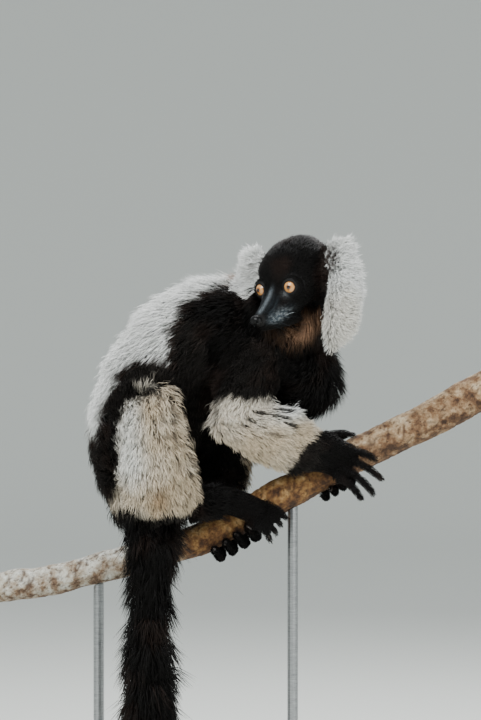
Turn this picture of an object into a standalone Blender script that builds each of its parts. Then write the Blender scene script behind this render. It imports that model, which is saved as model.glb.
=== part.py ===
"""A black-and-white ruffed lemur sitting on a short cut branch, on a plain display stand.

Standalone Blender 4.5 script: metres, +Z up, origin at the middle of the stand's underside. The
animal faces +X, seen from its right side by someone who looks along +Y, and turns its head back
over its right shoulder. Every solid is the outline of the coat, out to the tips of the hair.
The animal's points are in millimetres from the seat: the middle of the branch under its rump.
"""

import math

import bmesh
import bpy
from mathutils import Matrix, Vector

# ---------------------------------------------------------------- driving sizes

SEAT_HEIGHT = 0.600  # seat above the floor, which leaves the hanging tail clear of the base
MM = 0.001
GAP = 0.3 * MM  # space between pieces that meet
ROOM = 0.5 * MM  # how far a cutter's corners are moved out, which leaves about a GAP between its faces
HAIRLINE = 0.05 * MM
SLIVER_TURN = 2.0  # degrees: faces that turn by less are merged after the cuts

# The branch rises from left to right: (x, z) of its middle, in millimetres from the seat.
PERCH_LINE = [(-248, -48), (-170, -37), (-97, -18), (-27, 2), (49, 41), (146, 94), (220, 130), (304, 175)]
PERCH_RADIUS = (16.5, 21.0)  # at its left and right ends

BASE_SIZE = (0.400, 0.260, 0.022)
BASE_EDGE = 0.005
BASE_CORNER = 0.030
ROD_RADIUS = 0.006
ROD_X = (-126, 84)  # where the two rods stand, in millimetres
ROD_TAPER = 0.94  # a rod's or a collar's top, as a share of its foot
ROD_SINK = 0.004  # how deep a rod goes into the branch
COLLAR_RADIUS, COLLAR_HEIGHT = 0.014, 0.010

# The head's place and turn. Its own axes are forward, left and up, from the middle of the skull.
SKULL = Vector((82, -60, 294))
HEAD_YAW, HEAD_PITCH, HEAD_ROLL = (math.radians(a) for a in (36.5, 25, 4.5))

# Joints of each side's limbs.
JOINTS = {
    "right": {
        "shoulder": (50, -42, 206),
        "elbow": (8, -68, 134),
        "wrist": (95, -38, 104),
        "hip": (-86, -30, 88),
        "knee": (-68, -84, 172),
        "ankle": (-24, -46, 48),
    },
    "left": {
        "shoulder": (96, 36, 196),
        "elbow": (40, 66, 110),
        "wrist": (110, 32, 102),
        "hip": (-78, 46, 88),
        "knee": (14, 88, 148),
        "ankle": (4, 42, 50),
    },
}

TRUNK = ("rump", "loin", "chest")  # each of these bodies is one loft, parted by flat cuts
TAIL = ("tail_1", "tail_2", "tail_3", "tail_4", "tail_5")

EAR_SIZE = (21, 18, 9)  # half its length, width and thickness
EAR_CUP = 1.35  # how deep the front is pressed in, as a share of the half thickness

ELBOW_STEP = 0.12  # share of the upper arm that the forearm's own end covers

EYE_RADIUS = 9.6
EYE_PLACE = (29.5, 17.8, -5.0)  # forward, left and up of the left eye's middle
EYE_TURN = math.radians(13)  # how far each eye looks outwards

BLACK, WHITE, CREAM = (0.015, 0.013, 0.013), (0.78, 0.77, 0.73), (0.55, 0.50, 0.43)
BARK, WOOD, STEEL = (0.36, 0.25, 0.16), (0.045, 0.030, 0.022), (0.55, 0.55, 0.56)
AMBER, LEATHER = (0.75, 0.42, 0.13), (0.02, 0.02, 0.024)


# ---------------------------------------------------------------- small tools


def at(x, y, z):
    """A point of the animal, given in millimetres from the seat, in metres from the floor."""
    return Vector((x * MM, y * MM, SEAT_HEIGHT + z * MM))


def head_axes():
    """The head's forward, left and up directions."""
    flat = math.cos(HEAD_PITCH)
    forward = Vector((-math.sin(HEAD_YAW) * flat, -math.cos(HEAD_YAW) * flat, -math.sin(HEAD_PITCH)))
    left = Vector((math.cos(HEAD_YAW), -math.sin(HEAD_YAW), 0))
    up = forward.cross(left)
    roll = Matrix.Rotation(HEAD_ROLL, 3, forward)
    return forward, roll @ left, roll @ up


FORWARD, LEFT, UP = head_axes()


def on_head(forward, left, up):
    """A point given in the head's own axes, in millimetres from the middle of the skull."""
    return at(*(SKULL + forward * FORWARD + left * LEFT + up * UP))


def smooth_between(values, t):
    """Catmull-Rom curve through equally spaced values, at t from 0 to 1."""
    last = len(values) - 1
    place = min(max(t, 0.0), 1.0) * last
    i = min(int(place), last - 1)
    u = place - i
    a, b = values[max(i - 1, 0)], values[i]
    c, d = values[i + 1], values[min(i + 2, last)]
    return 0.5 * (2 * b + u * (c - a) + u * u * (2 * a - 5 * b + 4 * c - d) + u**3 * (3 * b - a - 3 * c + d))


def perch_point(x):
    """Middle of the branch at x, in millimetres from the seat."""
    for (x0, z0), (x1, z1) in zip(PERCH_LINE, PERCH_LINE[1:]):
        if x <= x1:
            break
    k = PERCH_LINE.index((x0, z0))
    before = PERCH_LINE[max(k - 1, 0)]
    after = PERCH_LINE[min(k + 2, len(PERCH_LINE) - 1)]
    slope0 = (z1 - before[1]) / (x1 - before[0])
    slope1 = (after[1] - z0) / (after[0] - x0)
    w = x1 - x0
    u = (x - x0) / w
    z = z0 * (1 + 2 * u) * (1 - u) ** 2 + z1 * u * u * (3 - 2 * u)
    z += w * (slope0 * u * (1 - u) ** 2 - slope1 * u * u * (1 - u))
    return Vector((x, 0, z))


def perch_radius(x):
    """The branch grows thicker from its left end to its right."""
    first, last = PERCH_LINE[0][0], PERCH_LINE[-1][0]
    share = (x - first) / (last - first)
    return PERCH_RADIUS[0] + share * (PERCH_RADIUS[1] - PERCH_RADIUS[0])


def round_perch(x, angle, away):
    """A point beside the branch: angle 0 is its top, 90 its right (-Y) side and 180 its underside."""
    along = (perch_point(x + 1) - perch_point(x - 1)).normalized()
    side = Vector((0, -1, 0))
    top = side.cross(along)
    if top.z < 0:
        top = -top
    a = math.radians(angle)
    out = math.cos(a) * top + math.sin(a) * side
    return perch_point(x) + (perch_radius(x) + away) * out


def material(name, colour, roughness=0.8, metallic=0.0):
    """A plain Principled material."""
    made = bpy.data.materials.new(name)
    made.use_nodes = True
    shader = made.node_tree.nodes["Principled BSDF"]
    shader.inputs["Base Color"].default_value = (*colour, 1)
    shader.inputs["Roughness"].default_value = roughness
    shader.inputs["Metallic"].default_value = metallic
    return made


def new_object(name, bm, finish):
    """Turns a bmesh into a smooth-shaded object with one material."""
    bmesh.ops.triangulate(bm, faces=bm.faces)
    bm.normal_update()
    bmesh.ops.recalc_face_normals(bm, faces=bm.faces)
    mesh = bpy.data.meshes.new(name)
    bm.to_mesh(mesh)
    bm.free()
    mesh.shade_smooth()
    mesh.set_sharp_from_angle(angle=math.radians(50))
    mesh.materials.append(finish)
    made = bpy.data.objects.new(name, mesh)
    bpy.context.scene.collection.objects.link(made)
    return made


# ---------------------------------------------------------------- lofted bodies


def ring(bm, middle, side, up, size, sides):
    """One closed oval loop of a loft, size[0] wide and size[1] high from its middle."""
    turns = [2 * math.pi * k / sides for k in range(sides)]
    return [bm.verts.new(middle + side * (size[0] * math.cos(a)) + up * (size[1] * math.sin(a))) for a in turns]


def join_rings(bm, rings, first=None, last=None):
    """Bridges the rings in order. An end is closed to a pole, or with a flat face where none is given."""
    for a, b in zip(rings, rings[1:]):
        n = len(a)
        for k in range(n):
            bm.faces.new((a[k], a[(k + 1) % n], b[(k + 1) % n], b[k]))
    for end, pole in ((rings[0], first), (rings[-1], last)):
        if pole is None:
            bm.faces.new(end)
            continue
        tip = bm.verts.new(pole)
        for k in range(len(end)):
            bm.faces.new((end[k], end[(k + 1) % len(end)], tip))


def loft(name, points, sizes, finish, sides=10, steps=6, ends=(0.8, 0.8), side=(0, 1, 0), span=(0, 1), dome=(35, 65)):
    """A rounded body along a smooth path.

    points are in metres; sizes are (half width along side, half height) in millimetres at each point.
    ends give each dome's length as a share of the end's own half height, or None for a flat cut.
    span takes only that share of the path, for a body that is divided into several nodes.
    """
    sizes = [Vector(s) * MM for s in sizes]
    points = [Vector(p) for p in points]
    bm = bmesh.new()
    rings = []
    poles = [None, None]
    for i in range(steps + 1):
        t = span[0] + (span[1] - span[0]) * i / steps
        middle = smooth_between(points, t)
        along = (smooth_between(points, min(t + 0.01, 1)) - smooth_between(points, max(t - 0.01, 0))).normalized()
        across = Vector(side)
        across = (across - across.project(along)).normalized()
        up = along.cross(across)
        if i in (0, steps):
            which = 0 if i == 0 else 1
            outward = -along if i == 0 else along
            size = smooth_between(sizes, t)
            curve = []
            if ends[which] is None:
                middle = middle - outward * GAP / 2
            else:
                reach = ends[which] * size[1]
                poles[which] = middle + outward * reach
                for turn in dome:
                    a = math.radians(turn)
                    curve.append((middle + outward * reach * math.sin(a), size * math.cos(a)))
            whole = (middle, size)
            row = [*reversed(curve), whole] if i == 0 else [whole, *curve]
        else:
            row = [(middle, smooth_between(sizes, t))]
        for centre, size in row:
            rings.append(ring(bm, centre, across, up, size, sides))
    join_rings(bm, rings, poles[0], poles[1])
    return new_object(name, bm, finish)


def divided(names, points, sizes, cuts, finishes, **options):
    """One loft parted by flat cuts into several nodes, each with a gap of GAP to the next."""
    edges = [0, *cuts, 1]
    made = []
    for i, name in enumerate(names):
        ends = (0.8 if i == 0 else None, 0.8 if i == len(names) - 1 else None)
        made.append(loft(name, points, sizes, finishes[i], span=edges[i : i + 2], ends=ends, **options))
    return made


def bead(name, middle, size, finish, axes=(Vector((1, 0, 0)), Vector((0, 1, 0)), Vector((0, 0, 1))), rows=(14, 9)):
    """An ellipsoid, with its half sizes in millimetres along the three axes given."""
    bm = bmesh.new()
    bmesh.ops.create_uvsphere(bm, u_segments=rows[0], v_segments=rows[1], radius=1)
    turn = Matrix([a.normalized() for a in axes]).transposed()
    for v in bm.verts:
        v.co = middle + turn @ (Vector(size) * MM * v.co)
    return new_object(name, bm, finish)


# ---------------------------------------------------------------- the animal


def make_head(black, leather, amber, white):
    """Skull and muzzle as one loft, with a jaw, nose pad, eyes, ears and cheek ruffs of their own."""
    parts = []
    # Forward, half width, top and bottom, in millimetres: back of the skull to the tip of the snout.
    stations = [
        (-46, 20, 21, -28),
        (-35, 33, 30.5, -36),
        (-18, 41, 35.5, -40),
        (0, 42.5, 35.5, -42),
        (13, 39.5, 32, -42),
        (23, 34, 24, -42),
        (30, 28, 15.5, -41),
        (37, 23, 6, -39.5),
        (47, 18, -2.5, -37),
        (58, 15, -7.5, -34),
        (70, 13, -11, -31),
        (81, 9.5, -14.5, -28),
    ]
    bm = bmesh.new()
    rings = []
    for forward, wide, top, bottom in stations:
        middle = on_head(forward, 0, (top + bottom) / 2)
        rings.append(ring(bm, middle, LEFT, UP, Vector((wide, (top - bottom) / 2)) * MM, 12))
    join_rings(bm, rings, on_head(-50, 0, -4), on_head(85, 0, -21))
    head = new_object("head", bm, black)

    for name, side in (("left", 1), ("right", -1)):
        forward, left, up = EYE_PLACE
        gaze = FORWARD * math.cos(EYE_TURN) + LEFT * (side * math.sin(EYE_TURN))
        axes = (gaze.cross(UP), UP, gaze)
        eye = bead(f"eye_{name}", on_head(forward, side * left, up), (EYE_RADIUS,) * 3, amber, axes, (10, 6))
        parts.append(eye)
    nose = bead("nose", on_head(83, 0, -18), (5.5, 7.4, 5.6), leather, (FORWARD, LEFT, UP), (8, 6))
    parts.append(nose)
    # The lower jaw, from the chin back to the corner of the mouth.
    jaw_line = [on_head(f, 0, u) for f, u in ((76, -30.5), (60, -34.5), (44, -38.5), (24, -43))]
    jaw = loft("jaw", jaw_line, [(6.5, 3.8), (10.5, 5.2), (14.5, 6.8), (20, 9)], black, 10, 4, (0.9, 0.5), side=LEFT)
    parts += [jaw, head]
    for name, side in (("left", 1), ("right", -1)):
        parts.append(make_ear(name, side, white))
    for name, side in (("left", 1), ("right", -1)):
        parts.append(make_ruff(name, side, white))
    return parts


def make_ear(name, side, white):
    """A rounded furry ear: a flattened ball whose front is pressed in to a shallow cup."""
    out = (LEFT * side * 0.86 + UP * 0.32 - FORWARD * 0.30).normalized()
    across = FORWARD.cross(out).normalized()
    front = out.cross(across)
    if front.dot(FORWARD) < 0:
        front = -front
    middle = on_head(-12, side * 53, 12)
    bm = bmesh.new()
    bmesh.ops.create_uvsphere(bm, u_segments=10, v_segments=6, radius=1)
    for v in bm.verts:
        a, b, c = v.co
        if c > 0:
            c -= EAR_CUP * (1 - a * a - b * b)
        v.co = middle + (out * a * EAR_SIZE[0] + across * b * EAR_SIZE[1] + front * c * EAR_SIZE[2]) * MM
    return new_object(f"ear_{name}", bm, white)


def make_ruff(name, side, white):
    """The long white cheek hair, from the ear down to the throat."""
    line = [(-16, 51, 20), (-11, 57, 4), (-3, 57, -16), (6, 53, -40), (13, 42, -64), (17, 29, -84)]
    sizes = [(15, 13), (21, 17), (23, 18), (23, 18), (20, 17), (13, 12)]
    points = [on_head(f, side * left, u) for f, left, u in line]
    return loft(f"ruff_{name}", points, sizes, white, 9, 4, (0.9, 1.1), side=LEFT)


def make_trunk(black, white):
    """Rump, loin and chest: one hunched body in three nodes, and the neck."""
    line = [
        (-84, 8, 46),
        (-82, 8, 86),
        (-76, 8, 136),
        (-57, 8, 184),
        (-17, 8, 221),
        (31, 9, 233),
        (73, 6, 213),
        (100, 0, 173),
    ]
    sizes = [(44, 34), (60, 53), (67, 61), (68, 64), (65, 68), (60, 69), (58, 61), (48, 45)]
    points = [at(*p) for p in line]
    trunk = divided(TRUNK, points, sizes, (0.30, 0.62), (white, white, black), sides=12, steps=3)
    neck_line = [at(66, -4, 216), at(76, -30, 246), at(84, -54, 282)]
    neck = loft("neck", neck_line, [(50, 50), (46, 44), (40, 38)], black, 10, 3, side=(1, 0, 0))
    return trunk, neck


def spindle(name, start, end, sizes, finish, bow=(0, 0, 0), **options):
    """A limb segment between two joints, bowed at its middle, with (wide, deep) sizes along it."""
    a, b = Vector(start), Vector(end)
    middle = (a + b) / 2 + Vector(bow)
    points = [at(*a), at(*middle), at(*b)]
    return loft(name, points, sizes, finish, **options)


def make_arm(side, black, cream):
    """Upper arm, forearm, hand and five digits of one side."""
    joint = JOINTS[side]
    forearm = spindle(
        f"forearm_{side}",
        joint["elbow"],
        joint["wrist"],
        [(19, 21), (29, 40), (23, 33)] if side == "right" else [(19, 20), (24, 26), (19, 20)],
        cream,
        bow=(0, 0, 8),
        steps=3,
        ends=(0.8, 0.5),
    )
    shoulder, elbow = Vector(joint["shoulder"]), Vector(joint["elbow"])
    upper = spindle(
        f"upper_arm_{side}",
        shoulder,
        elbow + (shoulder - elbow) * ELBOW_STEP,
        [(30, 38), (28, 33), (19, 21)],
        black,
        steps=3,
    )
    return (make_draped_hand(black) if side == "right" else make_gripping_hand(black)) + [forearm, upper]


def digit(name, points, radius, finish, side=(0, 1, 0.3), tip=0.8):
    """A finger or toe: a slim tube, a little thicker at the knuckle and the pad."""
    sizes = [(radius * k, radius * k) for k in (1.15, 0.98, tip + 0.15, tip)]
    points = [at(*smooth_between(points, t / 3)) for t in range(4)]
    return loft(name, points, sizes, finish, 6, 3, (0.6, 1.0), side=side, dome=(45,))


def make_draped_hand(black):
    """The right hand, laid over the branch with its fingers hanging down the near side."""
    wrist = Vector(JOINTS["right"]["wrist"])
    knuckles = Vector((138, -30, 91))
    palm = [wrist + Vector((-4, 2, 2)), (wrist + knuckles) / 2 + Vector((0, 1, 5)), knuckles]
    sizes = [(17, 25), (14, 25), (9, 22)]
    hand = loft("hand_right", [at(*p) for p in palm], sizes, black, 10, 4, (0.6, 0.35), side=(0.2, 1, 0.35))
    parts = [hand]
    # Knuckle and tip of each finger from the top one down, with a bend between them.
    fingers = {
        "2": ((136, -29, 106), (171, -33, 94)),
        "3": ((139, -32, 96), (177, -37, 74)),
        "4": ((136, -33, 86), (169, -38, 58)),
        "5": ((128, -32, 78), (156, -35, 53)),
    }
    for number, (start, end) in fingers.items():
        a, b = Vector(start), Vector(end)
        bend = (a + b) / 2 + Vector((2, -4, 3))
        parts.append(digit(f"finger_right_{number}", [a, bend, b], 4.9, black))
    thumb = [Vector((116, -22, 117)), Vector((132, -15, 122)), Vector((149, -10, 119))]
    parts.append(digit("finger_right_1", thumb, 4.7, black))
    return parts


def grip(name, places, radius, finish):
    """A digit that wraps the branch: places are (x, angle round the branch, space to it)."""
    points = [round_perch(x, angle, radius * 0.92 + space) for x, angle, space in places]
    return digit(name, points, radius, finish, side=(1, 0, 0.5))


def make_gripping_hand(black):
    """The left hand, on the far side of the branch with its fingers round the underside."""
    wrist = Vector(JOINTS["left"]["wrist"])
    palm = [wrist + Vector((-4, 0, 2)), round_perch(121, 306, 13), round_perch(127, 268, 9)]
    sizes = [(17, 13), (19, 10), (19, 7)]
    hand = loft("hand_left", [at(*p) for p in palm], sizes, black, 10, 4, (0.6, 0.4), side=(1, 0, 0.4))
    parts = [hand]
    for i in range(4):
        x = 140 - 9.6 * i
        places = [(x, 258, 2), (x - 2, 200, 4), (x - 5, 128 + 6 * i, 0)]
        parts.append(grip(f"finger_left_{i + 2}", places, 4.8, black))
    parts.append(grip("finger_left_1", [(132, 322, 6), (141, 352, 3), (150, 376, 0)], 4.6, black))
    return parts


def make_leg(side, black, cream):
    """Thigh, shank, foot and five toes of one side."""
    joint = JOINTS[side]
    right = side == "right"
    thigh_sizes = [(36, 46), (32, 47), (24, 32)] if right else [(34, 42), (32, 42), (24, 30)]
    shank = spindle(
        f"shank_{side}",
        Vector(joint["knee"]) + Vector((8, -4 if right else 4, -6)),
        Vector(joint["ankle"]) + (Vector((-31, -12, 8)) if right else Vector((2, 8, 10))),
        [(22, 27), (28, 40), (29, 44)] if right else [(22, 25), (26, 33), (25, 34)],
        cream,
        bow=(-4, -6 if right else 6, 0),
        steps=3,
        ends=(0.8, 0.6),
    )
    thigh = spindle(f"thigh_{side}", joint["hip"], joint["knee"], thigh_sizes, cream, steps=4)
    return (make_draped_foot(black) if right else make_gripping_foot(black)) + [shank, thigh]


def make_draped_foot(black):
    """The right foot, along the top of the branch with its toes over the near side."""
    heel = Vector((-26, -36, 44))
    instep = Vector((14, -27, 50))
    ball = Vector((48, -26, 36))
    foot = loft("foot_right", [at(*p) for p in (heel, instep, ball)], [(14, 14), (15, 16), (13, 15)], black, 10, 4)
    parts = [foot]
    for i in range(4):
        start = ball + Vector((5 - 3 * i, 3 - 4.5 * i, 9 - 6.5 * i))
        end = start + Vector((24 - 3 * i, -4, -15 - i))
        bend = (start + end) / 2 + Vector((2, -3, 3))
        parts.append(digit(f"toe_right_{i + 2}", [start, bend, end], 5.0, black, tip=0.7))
    parts.append(grip("toe_right_1", [(14, 355, 2), (20, 300, 3), (22, 240, 1)], 6.0, black))
    return parts


def make_gripping_foot(black):
    """The left foot, down the far side of the branch with its toes round the underside."""
    heel = Vector(JOINTS["left"]["ankle"]) + Vector((-4, -2, -4))
    sole = [heel, round_perch(10, 300, 13), round_perch(16, 256, 10)]
    foot = loft("foot_left", [at(*p) for p in sole], [(15, 13), (19, 11), (19, 8)], black, 10, 4, side=(1, 0, 0.4))
    parts = [foot]
    for i in range(4):
        x = 33 - 12.4 * i
        places = [(x, 246, 3), (x - 1, 184, 6), (x - 3, 112 + 5 * i, 2)]
        parts.append(grip(f"toe_left_{i + 2}", places, 6.3, black))
    parts.append(grip("toe_left_1", [(-2, 322, 5), (-10, 352, 3), (-14, 380, 0)], 6.4, black))
    return parts


def make_tail(black):
    """The bushy tail, hanging down the near side of the branch, in five lengths."""
    line = [
        (-78, -8, 44),
        (-66, -42, 16),
        (-69, -50, -45),
        (-70, -50, -115),
        (-70, -48, -190),
        (-72, -44, -270),
        (-70, -38, -355),
        (-62, -32, -440),
        (-46, -26, -530),
    ]
    widths = [30, 34, 25, 30, 33, 33, 33, 31, 21]
    return divided(
        TAIL,
        [at(*p) for p in line],
        [(w, w) for w in widths],
        (0.22, 0.42, 0.62, 0.82),
        [black] * 5,
        sides=9,
        steps=3,
        side=(1, 0, 0),
    )


# ---------------------------------------------------------------- branch and stand


def make_perch(bark):
    """The cut length of branch, with gentle swellings and flat sawn ends."""
    bm = bmesh.new()
    rings = []
    steps, sides = 12, 10
    first, last = PERCH_LINE[0][0], PERCH_LINE[-1][0]
    for i in range(steps + 1):
        x = first + (last - first) * i / steps
        ring_points = []
        for k in range(sides):
            swell = 0.5 * math.sin(0.05 * x + 2 * math.pi * k / sides) - 0.5
            angle = 360 * k / sides
            ring_points.append(bm.verts.new(at(*round_perch(x, angle, swell))))
        rings.append(ring_points)
    join_rings(bm, rings)
    return new_object("perch", bm, bark)


def make_stand(wood, steel):
    """A flat base with two upright rods, each in a collar, that hold the branch from below."""
    bm = bmesh.new()
    bmesh.ops.create_cube(bm, size=1)
    for v in bm.verts:
        v.co = Vector([c * s for c, s in zip(v.co, BASE_SIZE)]) + Vector((0, 0, BASE_SIZE[2] / 2))
    upright = [e for e in bm.edges if abs(e.verts[0].co.z - e.verts[1].co.z) > BASE_SIZE[2] / 2]
    bmesh.ops.bevel(bm, geom=upright, offset=BASE_CORNER, segments=3, affect="EDGES", profile=0.5)
    rim = [e for e in bm.edges if all(abs(v.co.z - BASE_SIZE[2]) < HAIRLINE for v in e.verts)]
    bmesh.ops.bevel(bm, geom=rim, offset=BASE_EDGE, segments=2, affect="EDGES", profile=0.5)
    parts = [new_object("stand_base", bm, wood)]
    for name, x in zip(("left", "right"), ROD_X):
        foot = Vector((x * MM, 0, BASE_SIZE[2] + GAP))
        top = at(*round_perch(x, 180, 0)).z + ROD_SINK
        for kind, radius, height in (("rod", ROD_RADIUS, top - foot.z), ("collar", COLLAR_RADIUS, COLLAR_HEIGHT)):
            bm = bmesh.new()
            top_radius = radius * ROD_TAPER
            bmesh.ops.create_cone(bm, cap_ends=True, segments=12, radius1=radius, radius2=top_radius, depth=height)
            bmesh.ops.translate(bm, verts=bm.verts, vec=foot + Vector((0, 0, height / 2)))
            parts.append(new_object(f"stand_{kind}_{name}", bm, steel))
    return parts


# ---------------------------------------------------------------- parting the pieces


def cut(piece, cutter):
    """Takes the cutter's space out of the piece."""
    modifier = piece.modifiers.new(f"room for {cutter.name}", "BOOLEAN")
    modifier.operation = "DIFFERENCE"
    modifier.solver = "EXACT"
    modifier.object = cutter


def tidy(piece):
    """Merges the slivers that the cuts leave where their faces lie in one plane."""
    modifier = piece.modifiers.new("tidy", "DECIMATE")
    modifier.decimate_type = "DISSOLVE"
    modifier.angle_limit = math.radians(SLIVER_TURN)


def corners(piece):
    """The lowest and highest corners of a piece's box."""
    points = [v.co for v in piece.data.vertices]
    low = Vector([min(p[k] for p in points) for k in range(3)])
    high = Vector([max(p[k] for p in points) for k in range(3)])
    return low, high


def near(a, b):
    """Whether two pieces' boxes come within a GAP of each other."""
    (low_a, high_a), (low_b, high_b) = corners(a), corners(b)
    return all(low_a[k] < high_b[k] + GAP and low_b[k] < high_a[k] + GAP for k in range(3))


def grown_copy(piece):
    """A helper about a GAP larger than the piece all round, for cutting its neighbours."""
    made = piece.copy()
    made.data = piece.data.copy()
    made.name = f"{piece.name}_room"
    made.modifiers.clear()
    bpy.context.scene.collection.objects.link(made)
    for vertex, normal in zip(made.data.vertices, [v.normal.copy() for v in made.data.vertices]):
        vertex.co += normal * ROOM
    made.hide_render = True
    made.display_type = "WIRE"
    return made


def part_pieces(pieces):
    """Each piece gives way to those before it in the list, wherever the two would share space."""
    rooms = {}
    for i, piece in enumerate(pieces):
        for earlier in pieces[:i]:
            same_body = any(earlier.name in body and piece.name in body for body in (TRUNK, TAIL))
            if same_body or not near(piece, earlier):
                continue
            if earlier.name not in rooms:
                rooms[earlier.name] = grown_copy(earlier)
            cut(piece, rooms[earlier.name])
    for piece in pieces:
        if piece.modifiers:
            tidy(piece)


def main():
    for old in list(bpy.data.objects):
        bpy.data.objects.remove(old)
    black, white = material("black coat", BLACK), material("white coat", WHITE)
    cream, bark = material("cream coat", CREAM), material("bark", BARK, 0.9)
    wood, steel = material("dark wood", WOOD, 0.4), material("steel", STEEL, 0.35, 1.0)
    amber, leather = material("amber eye", AMBER, 0.15), material("nose leather", LEATHER, 0.3)

    perch = make_perch(bark)
    base, *uprights = make_stand(wood, steel)
    rods = [p for p in uprights if "rod" in p.name]
    collars = [p for p in uprights if "collar" in p.name]
    head_parts = make_head(black, leather, amber, white)
    trunk, neck = make_trunk(black, white)
    arms = make_arm("right", black, cream) + make_arm("left", black, cream)
    legs = make_leg("right", black, cream) + make_leg("left", black, cream)
    tail = make_tail(black)
    part_pieces([perch, *head_parts, *arms, *legs, *tail, *trunk, neck])
    part_pieces([perch, *rods, *collars])


main()
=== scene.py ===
# %% [markdown]
# # A black-and-white ruffed lemur on a cut branch
#
# This lesson dresses a life-size museum model. The plain solids of the animal, its branch and its
# stand are loaded first as a fixed frame. Over them come one skin, eyes, a nose, nails and a coat of
# solid tufts. Everything is in metres with +Z up, and the animal faces +X with its head turned to -Y.

import math

import bpy
import numpy as np
from mathutils import Matrix, Vector, kdtree, noise
from mathutils.bvhtree import BVHTree


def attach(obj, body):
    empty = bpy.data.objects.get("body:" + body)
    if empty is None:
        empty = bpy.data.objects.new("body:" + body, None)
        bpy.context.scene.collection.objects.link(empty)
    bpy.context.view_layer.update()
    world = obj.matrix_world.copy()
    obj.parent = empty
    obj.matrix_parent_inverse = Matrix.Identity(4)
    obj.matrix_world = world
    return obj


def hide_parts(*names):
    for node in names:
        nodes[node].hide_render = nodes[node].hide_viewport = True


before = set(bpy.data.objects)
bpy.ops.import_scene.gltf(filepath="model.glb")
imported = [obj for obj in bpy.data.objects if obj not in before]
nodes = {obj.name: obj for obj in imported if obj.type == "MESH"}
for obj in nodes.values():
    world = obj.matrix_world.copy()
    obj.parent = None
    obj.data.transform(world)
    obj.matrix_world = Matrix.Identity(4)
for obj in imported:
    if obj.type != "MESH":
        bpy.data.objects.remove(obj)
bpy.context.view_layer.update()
bpy.ops.object.select_all(action="DESELECT")

# %% [markdown]
# ## Places on the body
#
# An animal is easiest to describe from where it sits, so points of the body are given in millimetres
# from the seat, the middle of the branch under its rump. The joints are where its limbs bend. Trunk,
# tail and branch each follow a line of points, and the branch's needs only X and Z. The head has axes of
# its own, because it is turned, lowered and tilted.

# %% The seat and the joints
MM = 0.001
SEAT = np.array((0.0, 0.0, 600.0))
JOINTS = {
    "right": {
        "shoulder": (50, -42, 206),
        "elbow": (8, -68, 134),
        "wrist": (95, -38, 104),
        "knuckles": (138, -30, 91),
        "hip": (-86, -30, 88),
        "knee": (-68, -84, 172),
        "ankle": (-24, -46, 48),
        "toes": (48, -26, 36),
    },
    "left": {
        "shoulder": (96, 36, 196),
        "elbow": (40, 66, 110),
        "wrist": (110, 32, 102),
        "knuckles": (150, 20, 110),
        "hip": (-78, 46, 88),
        "knee": (14, 88, 148),
        "ankle": (4, 42, 50),
        "toes": (60, 20, 60),
    },
}
print("the seat is", SEAT[2], "mm above the floor")

# %% Lines through the body, and the head's axes
TRUNK_LINE = np.array([
    (100, 0, 173), (73, 6, 213), (31, 9, 233), (-17, 8, 221), (-57, 8, 184), (-76, 8, 136), (-82, 8, 86),
    (-84, 8, 46),
], float)
TAIL_LINE = np.array([
    (-78, -8, 44), (-66, -42, 16), (-69, -50, -45), (-70, -50, -115), (-70, -48, -190), (-72, -44, -270),
    (-70, -38, -355), (-62, -32, -440), (-46, -26, -530),
], float)
BRANCH_LINE = np.array([
    (-248, -48), (-170, -37), (-97, -18), (-27, 2), (49, 41), (146, 94), (220, 130), (304, 175),
], float)
SKULL = np.array((82.0, -60.0, 294.0))
MIRROR = {"left": 1, "right": -1}
HEAD_YAW, HEAD_PITCH, HEAD_ROLL = (math.radians(a) for a in (36.5, 25, 4.5))
EYE_RADIUS = 9.6
EYE_PLACE = (29.5, 17.8, -5.0)
EYE_TURN, EYE_LIFT = math.radians(13), math.radians(18)


def joint(side, name):
    """The place of a joint as an array, in millimetres from the seat."""
    return np.array(JOINTS[side][name], float)


def at(x, y, z):
    """A point of the animal, in millimetres from the seat, as a place in metres."""
    return Vector((x, y, z + SEAT[2])) * MM


flat = math.cos(HEAD_PITCH)
forward = Vector((-math.sin(HEAD_YAW) * flat, -math.cos(HEAD_YAW) * flat, -math.sin(HEAD_PITCH)))
left = Vector((math.cos(HEAD_YAW), -math.sin(HEAD_YAW), 0))
tilt = Matrix.Rotation(HEAD_ROLL, 3, forward)
HEAD_AXES = np.array([forward, tilt @ left, tilt @ forward.cross(left)])


def on_head(forward, left, up):
    """A point given forward, left and up from the middle of the skull, as a place in metres."""
    return at(*(SKULL + np.array((forward, left, up)) @ HEAD_AXES))


for side in (1, -1):
    print("an eye is at", [round(v, 3) for v in on_head(EYE_PLACE[0], side * EYE_PLACE[1], EYE_PLACE[2])])

# %% [markdown]
# ## Camera, floor and light
#
# The camera looks level at the animal's right side through a long lens, which flattens depth as a
# visitor sees a figure from a few steps away. The floor is one pale sheet that curves up far away, all
# round the model: no corner shows from any side, so nothing competes with the outline of the fur. Three
# big soft lamps and a pale world give the light of an overcast day.

# %% The camera
CAMERA_TARGET = Vector((0.0275, 0.0, 0.80))
CAMERA_DISTANCE = 2.6
CAMERA_HEIGHT = math.radians(1)
LONG_LENS, SENSOR = 120.3, 36
toward = Vector((0, -math.cos(CAMERA_HEIGHT), math.sin(CAMERA_HEIGHT)))
bpy.ops.object.camera_add(location=CAMERA_TARGET + toward * CAMERA_DISTANCE)
camera = bpy.context.object
camera.rotation_euler = (-toward).to_track_quat("-Z", "Y").to_euler()
camera.data.lens = LONG_LENS
camera.data.sensor_width = SENSOR
bpy.context.scene.camera = camera
print("camera at", [round(v, 3) for v in camera.location])


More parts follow.
